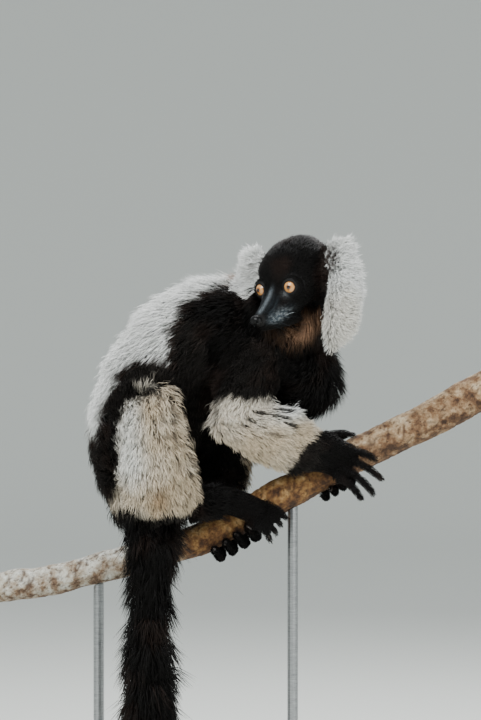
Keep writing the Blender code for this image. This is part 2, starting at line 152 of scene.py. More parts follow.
# %% Colours and shader nodes
def colour(code):
    """Turns an sRGB hex colour such as "#C9BFAF" into linear red, green, blue and alpha."""
    parts = [int(code[i:i + 2], 16) / 255 for i in (1, 3, 5)]
    linear = [p / 12.92 if p <= 0.04045 else ((p + 0.055) / 1.055) ** 2.4 for p in parts]
    return (*linear, 1.0)


def set_up(material, node, **settings):
    """Sets a shader node. A setting is a property, an input's value or another node's output to link."""
    for key, value in settings.items():
        name = int(key[1:]) if key[0] == "_" else key.replace("_", " ") if key[0].isupper() else key
        if not isinstance(name, int) and name not in node.inputs:
            setattr(node, key, value)
        elif isinstance(value, bpy.types.NodeSocket):
            material.node_tree.links.new(value, node.inputs[name])
        else:
            node.inputs[name].default_value = value


def add(material, kind, stops=(), /, **settings):
    """Adds one shader node with its settings and links; stops are a ramp's places and hex colours."""
    node = material.node_tree.nodes.new(kind)
    set_up(material, node, **settings)
    for i, (place, code) in enumerate(stops):
        stop = node.color_ramp.elements[i] if i < 2 else node.color_ramp.elements.new(place)
        stop.position = place
        stop.color = colour(code)
    return node


def new_material(name):
    """Makes a material that has only an output and an empty Principled shader."""
    material = bpy.data.materials.new(name)
    material.use_nodes = True
    material.node_tree.nodes.clear()
    shader = add(material, "ShaderNodeBsdfPrincipled")
    add(material, "ShaderNodeOutputMaterial", Surface=shader.outputs["BSDF"])
    return material, shader


print("warm white in linear light:", [round(v, 3) for v in colour("#F4F6F3")])

# %% The floor
FLOOR_SIZE, FLOOR_CELLS = 24, 60
RISE_START, RISE, RISE_TOP = 6.5, 0.16, 4.5
bpy.ops.mesh.primitive_grid_add(x_subdivisions=FLOOR_CELLS, y_subdivisions=FLOOR_CELLS, size=FLOOR_SIZE,
                                location=(0, 0, 0))
floor = bpy.context.object
floor.name = "floor"
for point in floor.data.vertices:
    reach = math.hypot(point.co.x, point.co.y)
    point.co.z = min(RISE_TOP, RISE * max(0.0, reach - RISE_START) ** 2)
bpy.ops.object.shade_smooth()

# Seamless paper is pressed and uncoated, so it scatters light evenly and shows no highlight.
paper, paper_shader = new_material("matt studio paper")
set_up(paper, paper_shader, Base_Color=colour("#DDE0DB"), Roughness=0.95)
floor.data.materials.append(paper)
print("floor:", FLOOR_SIZE, "m across, curving up from", RISE_START, "m")

# %% The lamps
# Each lamp's place, its size in metres and its power in watts.
LAMPS = {
    "key": ((-1.6, -2.4, 3.0), 2.4, 170),
    "fill": ((2.6, -1.9, 1.5), 2.2, 55),
    "rim": ((0.6, 2.2, 2.6), 1.6, 95),
}
for name, (place, size, power) in LAMPS.items():
    bpy.ops.object.light_add(type="AREA", location=place)
    lamp = bpy.context.object
    lamp.name = name
    lamp.data.size = size
    lamp.data.energy = power
    lamp.rotation_euler = (CAMERA_TARGET - lamp.location).to_track_quat("-Z", "Y").to_euler()

world = bpy.data.worlds.new("overcast")
bpy.context.scene.world = world
world.use_nodes = True
sky = world.node_tree.nodes["Background"].inputs
sky["Color"].default_value = colour("#DFE4E6")
sky["Strength"].default_value = 0.85
print("lamps:", ", ".join(LAMPS))

# %% [markdown]
# ## The skin
#
# Under the hair the animal is one body, so the parted solids are copied, joined and wrapped by a voxel
# Remesh: it closes the hairline gaps between the parts and leaves even faces. The wrap is the outline
# of the coat. The skin itself lies deeper by the height of the standing hair, which is different on
# every part: a fraction of a millimetre on a finger, and nearly two centimetres in the bushy tail.

# %% Helpers that copy solids and finish pieces
EYES = ("eye_left", "eye_right")
flesh = sorted(name for name in nodes if name != "perch" and not name.startswith("stand"))
MERGE_WITHIN = 0.001 * MM


def pick(*pieces):
    """Deselects everything and selects these pieces, with the first one active."""
    bpy.ops.object.select_all(action="DESELECT")
    for piece in pieces:
        piece.select_set(True)
    bpy.context.view_layer.objects.active = pieces[0]


def copied(names, title):
    """Copies CAD nodes into one new object whose touching corners are merged."""
    pick(*(nodes[name] for name in names))
    bpy.ops.object.duplicate()
    copies = list(bpy.context.selected_objects)
    for piece in copies:
        piece.parent = None
        for key in list(piece.keys()):
            del piece[key]
    bpy.context.view_layer.objects.active = copies[0]
    if len(copies) > 1:
        bpy.ops.object.join()
    made = bpy.context.object
    made.name = title
    made.data.materials.clear()
    bpy.ops.object.mode_set(mode="EDIT")
    bpy.ops.mesh.select_all(action="SELECT")
    bpy.ops.mesh.remove_doubles(threshold=MERGE_WITHIN)
    bpy.ops.object.mode_set(mode="OBJECT")
    return made


def finish_modifier(piece, kind, **settings):
    """Adds a modifier with its settings and applies it at once."""
    pick(piece)
    modifier = piece.modifiers.new(kind.lower(), kind)
    for key, value in settings.items():
        setattr(modifier, key, value)
    bpy.ops.object.modifier_apply(modifier=modifier.name)


print("solids of flesh:", len(flesh))

# %% Wrap the parts in one skin
# Fingers and toes lie side by side, so they are slimmed by their hair first, or the wrap would web them.
OUTLINE_VOXEL, SKIN_VOXEL = 2.0 * MM, 2.4 * MM
DIGIT_HAIR = 0.8 * MM
digits = [name for name in flesh if name.startswith(("finger", "toe"))]
slim = copied(digits, "digits")
inward = [-point.normal * DIGIT_HAIR for point in slim.data.vertices]
for point, step in zip(slim.data.vertices, inward):
    point.co += step
skin = copied([name for name in flesh if name not in digits], "skin")
slim.select_set(True)
bpy.ops.object.join()
finish_modifier(skin, "REMESH", mode="VOXEL", voxel_size=OUTLINE_VOXEL)
finish_modifier(skin, "SMOOTH", factor=0.5, iterations=2)
print("outline of the coat:", len(skin.data.polygons), "faces")

# %% [markdown]
# Each point of the wrap has to know which part of the body it belongs to. A search tree over all the
# solids' faces answers that: the nearest face names the part.


# %% Which part of the body is this?
def points_of(mesh, what="co"):
    """The places or normals of a mesh's corners as an array."""
    values = np.empty(len(mesh.vertices) * 3, np.float32)
    mesh.vertices.foreach_get(what, values)
    return values.reshape(-1, 3).astype(float)


def part_tree():
    """A search tree over the flesh solids, and the part that each of its faces belongs to."""
    corners, faces, owner = [], [], []
    for i, name in enumerate(flesh):
        mesh = nodes[name].data
        faces += [[v + len(corners) for v in p.vertices] for p in mesh.polygons]
        owner += [i] * len(mesh.polygons)
        corners += [v.co.copy() for v in mesh.vertices]
    return BVHTree.FromPolygons(corners, faces), np.array(owner)


solid_tree, solid_owner = part_tree()
outline = points_of(skin.data)
outline_part = np.array([solid_owner[solid_tree.find_nearest(Vector(p))[2]] for p in outline])
print("largest parts:", [flesh[i] for i in np.argsort(-np.bincount(outline_part))[:6]])


# %% How deep the skin lies
def kind_of(name):
    """The kind of body part that a node is, such as shank for shank_left."""
    return name.split("_")[0] if not name.startswith("upper_arm") else "upper_arm"


COAT_DEPTH = {
    "chest": 16, "loin": 17, "rump": 15, "neck": 12, "tail": 18,
    "head": 6.5, "jaw": 2.5, "nose": 0.5, "eye": 2.0, "ear": 4.0, "ruff": 9.5,
    "upper_arm": 12, "forearm": 10, "hand": 2.8, "finger": 0.2,
    "thigh": 15, "shank": 14, "foot": 2.8, "toe": 0.2,
}
DEEPEST = max(COAT_DEPTH.values())
FACE_EDGE, FACE_DEPTH = (2.0, 26.0), 2.2
DEPTH_ROUNDS = 14


def head_place(points):
    """Points in metres, given forward, left and up from the middle of the skull in millimetres."""
    return (points / MM - SEAT - SKULL) @ HEAD_AXES.T


def ramp(values, low, high):
    """0 below low, 1 above high, and a smooth rise between them."""
    share = np.clip((values - low) / (high - low), 0, 1)
    return share * share * (3 - 2 * share)


print("the coat is deepest at", DEEPEST, "mm")


# %% How a value spreads over the skin
def neighbours(mesh):
    """The two ends of every edge."""
    ends = np.empty(len(mesh.edges) * 2, np.int32)
    mesh.edges.foreach_get("vertices", ends)
    return ends.reshape(-1, 2)


def spread_out(values, ends, rounds):
    """Averages a value at each point with its neighbours', so that borders turn soft."""
    count = len(values)
    a, b = ends.T
    shared = np.bincount(a, minlength=count) + np.bincount(b, minlength=count)
    for _ in range(rounds):
        total = np.empty_like(values)
        for i in range(values.shape[1]):
            column = values[:, i]
            total[:, i] = np.bincount(a, column[b], count) + np.bincount(b, column[a], count)
        values = 0.5 * values + 0.5 * total / shared[:, None]
    return values


print("edges of the wrap:", len(neighbours(skin.data)))

# %% The depth of the coat at every point
# The depth is different on each part, and smaller on the face than on the rest of the head.
part_depth = np.array([COAT_DEPTH[kind_of(name)] for name in flesh], float)
depth = part_depth[outline_part]
is_head = np.isin(outline_part, [flesh.index(n) for n in ("head", "eye_left", "eye_right")])
on_face = ramp(head_place(outline)[:, 0], *FACE_EDGE)
depth[is_head] += (on_face * (FACE_DEPTH - depth))[is_head]
depth = spread_out(depth[:, None], neighbours(skin.data), DEPTH_ROUNDS)[:, 0]
group = skin.vertex_groups.new(name="coat depth")
for i, value in enumerate(depth):
    group.add([i], value / DEEPEST, "REPLACE")
outline_tree = BVHTree.FromPolygons(outline.tolist(), [p.vertices[:] for p in skin.data.polygons])
outline_faces = np.array([p.vertices[0] for p in skin.data.polygons])
print("coat depth in mm:", round(depth.min(), 1), "to", round(depth.max(), 1))

# %% [markdown]
# Sinking it all at once would fold the skin over itself where two limbs meet. So it goes down in a few
# small steps, and after each step it is smoothed most where it went deepest.

# %% Sink the wrap to the skin
STEPS = 6
finish_modifier(skin, "SMOOTH", factor=0.5, iterations=30, vertex_group="coat depth")
for _ in range(STEPS):
    finish_modifier(skin, "DISPLACE", direction="NORMAL", mid_level=0, vertex_group="coat depth",
                    strength=-DEEPEST * MM / STEPS)
    finish_modifier(skin, "SMOOTH", factor=0.5, iterations=6, vertex_group="coat depth")
skin.vertex_groups.clear()
finish_modifier(skin, "REMESH", mode="VOXEL", voxel_size=SKIN_VOXEL)
finish_modifier(skin, "SMOOTH", factor=0.5, iterations=1)


def keep_largest(piece):
    """Deletes loose scraps that a remesh can leave inside a shape."""
    bpy.ops.object.mode_set(mode="EDIT")
    bpy.ops.mesh.select_all(action="SELECT")
    bpy.ops.mesh.separate(type="LOOSE")
    bpy.ops.object.mode_set(mode="OBJECT")
    found = sorted(bpy.context.selected_objects, key=lambda o: len(o.data.polygons))
    for scrap in found[:-1]:
        bpy.data.objects.remove(scrap)
    return found[-1]


skin = keep_largest(skin)
skin.name = "skin"
print("skin:", len(skin.data.polygons), "faces")

# %% [markdown]
# ## The face
#
# The head is looked at most, so its skin gets smaller faces round the eyes and along the muzzle, and is
# then shaped point by point in the head's own axes, as with a sculpting brush. The lids are a raised rim
# close round each eyeball, a groove runs from the inner corner of the eye to the nose, and the mouth is
# a fine crease under the muzzle.

# %% Finer skin on the face
MUZZLE_START, FACE_REACH = 24.0, 110
LID_REACH = 19.0


def eye_place(side):
    """The middle of an eyeball in the head's axes; side is 1 for the left eye and -1 for the right."""
    return np.array((EYE_PLACE[0], side * EYE_PLACE[1], EYE_PLACE[2]))


def gaze(side):
    """The way that an eye looks, in the head's axes."""
    level = math.cos(EYE_LIFT)
    return np.array((level * math.cos(EYE_TURN), level * side * math.sin(EYE_TURN), math.sin(EYE_LIFT)))


def select_faces(piece, chosen):
    """Goes into edit mode with only the chosen faces of the active piece selected."""
    bpy.ops.object.mode_set(mode="EDIT")
    bpy.ops.mesh.select_mode(type="FACE")
    bpy.ops.mesh.select_all(action="DESELECT")
    bpy.ops.object.mode_set(mode="OBJECT")
    piece.data.polygons.foreach_set("select", chosen)
    bpy.ops.object.mode_set(mode="EDIT")


def refine(piece, wanted):
    """Cuts each chosen face in four; wanted tells from the corners' places which to take."""
    pick(piece)
    chosen = wanted(head_place(points_of(piece.data)))
    select_faces(piece, np.array([all(chosen[v] for v in p.vertices) for p in piece.data.polygons]))
    bpy.ops.mesh.subdivide(number_cuts=1, smoothness=0)
    bpy.ops.mesh.select_mode(type="VERT")
    bpy.ops.object.mode_set(mode="OBJECT")


def near_eyes(place, reach):
    """True for the points within reach of either eyeball's middle."""
    return np.minimum(*(np.linalg.norm(place - eye_place(s), axis=1) for s in (1, -1))) < reach


def of_muzzle(place):
    """True on the muzzle, which is in front of and below the eyes."""
    return (place[:, 0] > MUZZLE_START) & (np.linalg.norm(place, axis=1) < FACE_REACH)


refine(skin, lambda p: near_eyes(p, LID_REACH + 5) | of_muzzle(p))
refine(skin, lambda p: near_eyes(p, LID_REACH))
print("skin with a finer face:", len(skin.data.polygons), "faces")

# %% Helpers for a face
EYE_OPENING = math.radians(42)
MOUTH = np.array([(77, -28.5), (66, -31.5), (55, -34.5), (44, -37.0), (34, -38.5)], float)
GROOVE = np.array([(44, 8.0), (58, 8.4), (72, 7.6)], float)


def unit(vectors):
    """Vectors of length one."""
    return vectors / np.linalg.norm(vectors, axis=-1, keepdims=True).clip(1e-9)


def bell(*offsets):
    """1 where every offset is 0, and a smooth fall to nearly 0 where one of them passes 2."""
    return np.exp(-sum(offset**2 for offset in offsets))


def beside(points, line):
    """The distance of points from a line of points, and how far along it each lies, from 0 to 1."""
    best = np.full(len(points), np.inf)
    share = np.zeros(len(points))
    for i, (a, b) in enumerate(zip(line, line[1:])):
        t = np.clip((points - a) @ (b - a) / ((b - a) @ (b - a)), 0, 1)
        far = np.linalg.norm(points - a - t[:, None] * (b - a), axis=1)
        closer = far < best
        best[closer] = far[closer]
        share[closer] = ((i + t) / (len(line) - 1))[closer]
    return best, share


def from_gaze(place, side):
    """From an eyeball's middle, the way to points, how far off they are and how far off its gaze."""
    out = place - eye_place(side)
    far = np.linalg.norm(out, axis=1).clip(1e-6)
    return out, far, np.arccos(np.clip(out @ gaze(side) / far, -1, 1))


print("an eye opens", round(2 * EYE_RADIUS * math.sin(EYE_OPENING), 1), "mm wide")

# %% The lids
LID_RIM, RIM_WIDTH, LID_GAP = 1.0, math.radians(7), 0.35
LID_THICK, LID_SLOPE = 1.5, math.radians(14)
LID_FLAT, LID_FALL = math.radians(12), math.radians(40)
SOCKET_DEPTH = 2.5


def shape_lids(place, side):
    """Fits the skin round one eyeball: inside the opening it is drawn in, and at its edge it is a rim."""
    out, far, angle = from_gaze(place, side)
    rise = out[:, 2] / far
    opening = EYE_OPENING * (1 - 0.10 * rise * rise)
    thick = LID_THICK * ramp(angle, opening, opening + LID_SLOPE)
    rim = EYE_RADIUS + LID_GAP + thick + LID_RIM * bell((angle - opening) / RIM_WIDTH)
    hidden = ramp(angle, opening - RIM_WIDTH, opening - math.radians(2))
    wanted = (EYE_RADIUS - SOCKET_DEPTH) * (1 - hidden) + rim * hidden
    weight = 1 - ramp(angle, opening + LID_FLAT, opening + LID_FLAT + LID_FALL)
    weight *= far < LID_REACH
    moved = far + (wanted - far) * weight
    lowest = np.where(far < LID_REACH, EYE_RADIUS + LID_GAP + thick, 0)
    moved = np.where(angle > opening, np.maximum(moved, lowest), moved)
    return eye_place(side) + out * (moved / far)[:, None]


place = head_place(points_of(skin.data))
close = np.linalg.norm(place, axis=1) < FACE_REACH
face = place[close]
for side in (1, -1):
    face = shape_lids(face, side)
print("face points shaped:", len(face))

# %% The mouth and the eye grooves
MOUTH_CREASE, LIP_SWELL, GROOVE_DEPTH = 1.5, 0.5, 1.0
FACE_MIDDLE = np.array((50.0, 0.0, -24.0))
mouth_gap = beside(face[:, [0, 2]], MOUTH)[0]
groove_gap = beside(np.abs(face[:, :2]), GROOVE)[0]
of_mouth = ramp(face[:, 0], 30, 40)
on_top = ramp(face[:, 2], -26, -16) * ramp(face[:, 0], 40, 46)
crease = MOUTH_CREASE * bell(mouth_gap / 1.1) * of_mouth
lip = LIP_SWELL * bell((mouth_gap - 2.4) / 1.4) * of_mouth
groove = GROOVE_DEPTH * bell(groove_gap / 1.6) * on_top
place[close] = face + unit(FACE_MIDDLE - face) * (crease - lip + groove)[:, None]


def hand_over(items, what, values, kind=np.float32):
    """Gives an array of values to all the items of a mesh at once."""
    items.foreach_set(what, np.asarray(values, kind).ravel())


def move_skin(place):
    """Puts the skin's points where the head's axes say, in millimetres."""
    hand_over(skin.data.vertices, "co", (place @ HEAD_AXES + SKULL + SEAT) * MM)
    skin.data.update()


move_skin(place)
print("deepest crease in mm:", round(float(crease.max()), 1))

# %% Smooth the skin round the eyes
SOFT_START, SOFT_END = EYE_OPENING + math.radians(8), EYE_OPENING + math.radians(24)
mound = skin.vertex_groups.new(name="round the eyes")
for side in (1, -1):
    _, far, angle = from_gaze(place, side)
    softness = ramp(angle, SOFT_START, SOFT_END) * (1 - ramp(far, 17, 23))
    for i in np.flatnonzero(softness > 0.01):
        mound.add([int(i)], softness[i], "REPLACE")
finish_modifier(skin, "SMOOTH", factor=0.6, iterations=60, vertex_group="round the eyes")
skin.vertex_groups.clear()

# Smoothing can pull a lid into the eyeball, so what sank below its surface is lifted out again.
place = head_place(points_of(skin.data))
for side in (1, -1):
    out, far, angle = from_gaze(place, side)
    lowest = EYE_RADIUS + LID_GAP + LID_THICK * ramp(angle, EYE_OPENING, EYE_OPENING + LID_SLOPE)
    sunk = (angle > EYE_OPENING) & (far < lowest)
    place[sunk] = (eye_place(side) + out / far[:, None] * lowest[:, None])[sunk]
    print("points lifted out of an eyeball:", int(sunk.sum()))
move_skin(place)
bpy.ops.object.shade_smooth()

# %% [markdown]
# ## Which way the hair lies
#
# Hair grows away from the nose, down the neck and back, and along each limb towards its tip. Every skin
# point gets such a direction from its part of the body. The directions are averaged with their
# neighbours', so that the coat turns smoothly where two parts meet, and laid flat on the skin.


# %% What each skin point knows
def seat_place(points):
    """Points in metres, given in millimetres from the seat."""
    return points / MM - SEAT


def side_of(name):
    """The side of the body that a node is on, or nothing for one in the middle."""
    return "left" if "left" in name else "right" if "right" in name else ""


skin_points = points_of(skin.data)
normals = points_of(skin.data, "normal")
found = [outline_tree.find_nearest(Vector(p)) for p in skin_points]
skin_part = outline_part[outline_faces[[hit[2] for hit in found]]]
skin_depth = np.array([hit[3] for hit in found]) / MM
skin_ends = neighbours(skin.data)
skin_depth = spread_out(skin_depth[:, None], skin_ends, 6)[:, 0]
kinds = np.array([kind_of(name) for name in flesh])[skin_part]
sides = np.array([side_of(name) for name in flesh])[skin_part]
print("skin depth in mm:", [round(v, 1) for v in np.percentile(skin_depth, (1, 50, 99))])

# %% Ways along a limb, a line and a digit
LIMBS = {
    "upper_arm": ("shoulder", "elbow"),
    "forearm": ("elbow", "wrist"),
    "hand": ("wrist", "knuckles"),
    "thigh": ("hip", "knee"),
    "shank": ("knee", "ankle"),
    "foot": ("ankle", "toes"),
}
DOWN = np.array((0.0, 0.0, -1.0))
NOSE_TIP = np.array((86.0, 0.0, -18.0))


def along_line(points, line):
    """The direction of the nearest stretch of a line at each point."""
    share = beside(points, line)[1] * (len(line) - 1)
    ways = unit(np.diff(line, axis=0))
    low = np.clip(np.floor(share - 0.5).astype(int), 0, len(ways) - 1)
    high = np.clip(low + 1, 0, len(ways) - 1)
    mix = np.clip(share - 0.5 - low, 0, 1)[:, None]
    return unit(ways[low] * (1 - mix) + ways[high] * mix)


def digit_corners(name):
    """The corners of a digit's solid, and how far each is from its wrist or ankle."""
    limb = "hand" if name.startswith("finger") else "foot"
    corners = seat_place(points_of(nodes[name].data))
    return corners, np.linalg.norm(corners - joint(side_of(name), LIMBS[limb][0]), axis=1)


def digit_way(name):
    """The way from a digit's root to its tip."""
    corners, far = digit_corners(name)
    return corners[far.argmax()] - corners[far.argmin()]


print("the right first finger points", [round(v, 2) for v in unit(digit_way("finger_right_1"))])


# %% The lie of the hair
def hair_way(name, here, skull):
    """The way that hair grows on one part, at places from the seat and from the skull's middle."""
    kind, side = kind_of(name), side_of(name)
    if kind in LIMBS:
        start, end = (joint(side, j) for j in LIMBS[kind])
        return np.tile(unit(end - start), (len(here), 1)) + 0.15 * DOWN
    if kind in ("finger", "toe"):
        return np.tile(unit(digit_way(name)), (len(here), 1))
    if kind == "tail":
        return along_line(here, TAIL_LINE)
    if kind in ("chest", "loin", "rump"):
        front = ramp(here[:, 0], 70, 120)[:, None]
        return along_line(here, TRUNK_LINE) + (0.45 + 1.2 * front) * DOWN
    if kind == "neck":
        return unit(here - SKULL) + 0.6 * DOWN
    if kind == "ruff":
        fall = 0.35 * ramp(-skull[:, 2], 40, 75) - 0.45
        back_and_down = np.outer(fall, (0, 0, 1)) + (-0.75, 0, 0)
        return (unit(skull * (0.35, 1, 0.45)) + back_and_down) @ HEAD_AXES
    if kind == "ear":
        root = np.array((-8, 30 * MIRROR[side], 2))
        return (unit(skull - root) + (-0.35, 0, 0.25)) @ HEAD_AXES
    return unit(skull - NOSE_TIP) @ HEAD_AXES


EYE_CLEARING, LIE_ROUNDS = 17, 10
lie = np.zeros((len(skin_points), 3))
body_place = seat_place(skin_points)
skull_place = head_place(skin_points)
for part, name in enumerate(flesh):
    mine = skin_part == part
    if mine.any():
        lie[mine] = unit(hair_way(name, body_place[mine], skull_place[mine]))
# Round the eyes the hair parts and grows outwards on all sides.
for side in (1, -1):
    from_eye = skull_place - eye_place(side)
    close = np.exp(-((np.linalg.norm(from_eye, axis=1) / EYE_CLEARING) ** 4))[:, None]
    lie += close * (kinds == "head")[:, None] * (1.6 * unit(from_eye) @ HEAD_AXES)
lie = spread_out(lie, skin_ends, LIE_ROUNDS)
lie = unit(lie - normals * (lie * normals).sum(1)[:, None])
print("hair directions:", len(lie))

# %% [markdown]
# ## Markings
#
# The coat is painted by rules, and the skin and every tuft ask the same rules, so their colours agree.
# A white saddle covers the back and narrows behind the thigh. Each leg has a cream patch on its outer
# side inside a black band, the forearms are cream with dark streaks, and ears and ruff are white. The
# face, crown, shoulders, belly, hands, feet and tail are black. The left limbs take the right limbs'
# patches: their joints are laid over the right ones', mirrored.

# %% Paints, outlines and noise
SHADES = {
    "black": "#0B0908", "brown": "#2A1D17", "white": "#F4F6F3", "cream": "#E2DACB", "warm cream": "#CDBB9F",
    "tan": "#AC8468", "stain": "#94703F", "grey": "#4E4642", "slate": "#55646F", "silver": "#BFC6C9",
}
PAINT = {name: np.array(colour(code)[:3]) for name, code in SHADES.items()}


def inside(points, corners):
    """How far points lie inside an outline, both seen from the side; outside it the distance is negative."""
    flat = points[:, [0, 2]]
    closed = np.vstack([corners, corners[:1]])
    gap = beside(flat, closed)[0]
    crossings = np.zeros(len(flat), bool)
    for (x0, y0), (x1, y1) in zip(closed, closed[1:]):
        if y0 != y1:
            between = (flat[:, 1] > min(y0, y1)) & (flat[:, 1] <= max(y0, y1))
            edge = x0 + (flat[:, 1] - y0) * (x1 - x0) / (y1 - y0)
            crossings ^= between & (flat[:, 0] < edge)
    return np.where(crossings, gap, -gap)


def ripple(points, size, seed=0):
    """Smooth noise from about -1 to 1 whose lumps are this many millimetres across."""
    shift = Vector((seed * 17.3, seed * 5.1, seed * 9.7))
    return np.array([noise.noise(Vector(p) / size + shift) for p in points]) * 1.6


print("paints:", ", ".join(PAINT))

# %% [markdown]
# The saddle's edge is an outline seen from the side. Its distance tells how strongly to paint, so the
# edge is soft, and a little noise on the distance makes it ragged, as where white hair lies over black.

# %% The saddle
SADDLE = np.array([
    (36, 290), (0, 276), (-32, 259), (-46, 230), (-48, 198), (-72, 199), (-84, 197), (-96, 186), (-107, 167),
    (-116, 146), (-121, 118), (-260, 118), (-260, 420), (60, 420),
], float)


def paint_trunk(paint, points, kinds, wobble):
    """The white back, brown along its edge and tan at the nape."""
    trunk = np.isin(kinds, ("chest", "loin", "rump", "neck", "upper_arm"))
    saddle = inside(points, SADDLE) + wobble * 1.2
    nape = ramp(points[:, 0], 2, 26) * ramp(points[:, 2], 240, 262)
    paint("brown", ramp(saddle, -12, 4), trunk)
    paint("white", ramp(saddle, -2, 7), trunk)
    paint("tan", 0.75 * nape * ramp(saddle, -6, 4) * (1 - ramp(saddle, 4, 22)), trunk)


print("saddle:", len(SADDLE), "corners")

# %% [markdown]
# Both legs get the patch of the right one: points of the left leg are first laid over the right leg,
# hip on hip and knee on knee. The cream turns warmer towards the front and lower down, has a brown
# stain low down, and is painted brown between its locks at its front edge, as shade in the gaps.

# %% The legs
LEG_PATCH = np.array([
    (-90, 159), (-78, 163), (-62, 165), (-54, 177), (-44, 179), (-32, 166), (-18, 137), (-6, 107), (0, 70),
    (-6, 50), (-18, 40), (-68, 36), (-118, 38), (-104, 58), (-102, 92), (-100, 133),
], float)
LEG_TOP_PATCH = np.array([(-80, 177), (-66, 185), (-55, 181), (-60, 172), (-76, 170)], float)


def laid_over(points, normals, names):
    """Points near the left limb, moved to the same places on the right one."""
    frames = []
    for side, out in MIRROR.items():
        a, b, c = (joint(side, name) for name in names)
        across = np.cross(b - a, c - b)
        across = unit(across) * (1 if across[1] * out > 0 else -1)
        frames.append((a, np.array((b - a, c - b, across))))
    (start, left_axes), (end, right_axes) = frames
    turn = np.linalg.inv(left_axes) @ right_axes
    return end + (points - start) @ turn, unit(normals @ turn)


def paint_legs(paint, points, normals, kinds, sides, wobble):
    """The cream patch of each leg inside its black band, with a small patch above the knee."""
    leg = np.isin(kinds, ("thigh", "shank", "foot"))
    spot, facing = points.copy(), normals.copy()
    far = leg & (sides == "left")
    spot[far], facing[far] = laid_over(points[far], normals[far], ("hip", "knee", "ankle"))
    x, y, z = spot.T
    skirt = np.isin(kinds, ("rump", "tail")) & (y < 0) & (z < 120) & (z > 30)
    wool = (leg & (kinds != "foot")) | skirt
    outer = ramp(-facing[:, 1], -0.25, 0.1)
    cover = ramp(inside(spot, LEG_PATCH) + wobble * 0.8, -2, 6) * outer
    paint("cream", 0.55 * (ramp(inside(spot, LEG_TOP_PATCH) + wobble * 0.8, -3, 6) * outer), leg)
    paint("cream", cover, wool)
    warm = 0.8 * ramp(x + 0.25 * z, -70, -20) + 0.6 * ramp(-z, -95, -45)
    paint("warm cream", cover * np.clip(warm + 0.3 * ripple(points, 22, 3), 0, 0.9), wool)
    paint("white", 0.7 * cover * ramp(-x - 0.1 * z, 50, 75) * ramp(z, 60, 90), wool)
    paint("stain", 0.6 * cover * bell((x + 58) / 10, (z - 55) / 17), wool)
    # Painted shade: the wool is painted brown between its locks towards its front edge.
    shade_between_locks = ramp(ripple(points * (1, 1, 0.6), 6, 9), 0.15, 0.6) * ramp(x + 0.4 * z, -25, 15)
    paint("brown", 0.75 * cover * shade_between_locks, wool)
    paint("white", ramp(inside(spot, SADDLE) + wobble, 0, 8), kinds == "thigh")


print("leg patch:", len(LEG_PATCH), "corners, and", len(LEG_TOP_PATCH), "above the knee")

# %% [markdown]
# A forearm is cream from the elbow to a cuff before the wrist, whiter on top and warmer below, with
# dark fissures of painted shade along it where the wool parts. They are noise that is stretched along
# the arm.

# %% The arms
STREAK, STREAK_STRETCH = 4.6, 0.82


def paint_arms(paint, points, kinds, sides, wobble):
    """The cream forearms with their dark streaks of painted shade, whiter on top near the wrist and warmer
    below.
    """
    for side in MIRROR:
        elbow, wrist = joint(side, "elbow"), joint(side, "wrist")
        length = np.linalg.norm(wrist - elbow)
        along = unit(wrist - elbow)
        arm = np.isin(kinds, ("forearm", "hand", "upper_arm")) & (sides == side)
        reach = (points - elbow) @ along
        above = (points - elbow)[:, 2]
        height = above - 0.1 * reach
        cuff = reach - 1.3 * np.maximum(0, above + 30) + wobble
        cover = ramp(reach + wobble, -16, -8) * (1 - ramp(cuff, length - 19, length - 11))
        cover *= 1 - ramp(height + wobble * 1.3, 20, 28)
        paint("cream", cover, arm)
        below = 0.7 * (1 - ramp(height, -26, 2)) + 0.4 * ramp(ripple(points, 26, 5), -0.2, 0.7)
        paint("warm cream", cover * below.clip(0, 0.85), arm & (kinds == "forearm"))
        paint("white", cover * ramp(reach, 0.35 * length, 0.7 * length) * ramp(height, -12, 8), arm)
        # Painted shade: dark streaks where the wool parts, along the middle of the forearm.
        lengthwise = (points @ along)[:, None] * along
        streak = ripple(points - STREAK_STRETCH * lengthwise, STREAK, 4)
        parting_shade_zone = ramp(reach, 8, 22) * (1 - ramp(reach, length - 22, length - 8)) * ramp(height, -24, -10)
        paint("black", 0.95 * parting_shade_zone * ramp(streak, 0.30, 0.44), arm & (kinds != "hand"))


print("streaks are", STREAK, "mm wide")

# %% [markdown]
# On the head, places are told forward, left and up from the skull's middle. Ears and ruff are white
# outside one curved line, with painted shade that warms them near the face, and grey in the hollow of
# the ear, where dark hair and painted shade lie together. The muzzle is black leather-like skin under
# short hair, so light catches its ridge, its lips and the inner corners of the eyes: these are painted
# slate and silver.


# %% The ears, the ruff and the face
def past_ruff_edge(skull):
    """How far out points on the head lie from the line where the white ears and ruff begin."""
    edge = 28 + 17 * ramp(skull[:, 2], -50, -18) + 6 * bell((skull[:, 2] + 5) / 4)
    return np.abs(skull[:, 1]) - edge + 12 * (skull[:, 1] < 0)


def paint_ears(paint, points, skull, kinds, sides, wobble):
    """The white ears and ruff with painted shade in warm cream near the face, and the grey hollow of the ear:
    dark hair and painted shade.
    """
    pale = np.isin(kinds, ("ear", "ruff"))
    x, y, z = skull.T
    edge = past_ruff_edge(skull)
    paint("white", ramp(edge + 0.8 * wobble, -2, 2), pale)
    # Painted shade: the ruff is painted warmer cream low down near the face.
    paint("warm cream", 0.3 * (ramp(x, -8, 12) * ramp(-z, 5, 40)) * ramp(edge, 0, 4), pale)
    # The grey in the hollow of the ear is dark hair together with painted shade.
    hollow_hair_and_shade = bell((np.abs(y) - 53) / 9, (z - 8) / 11) * ramp(x, -18, -12)
    grey = 1.8 * hollow_hair_and_shade * ramp(ripple(points, 4.0, 6), -0.7, 0.4)
    paint("grey", grey * np.where(sides == "left", 1, 0.35), pale)


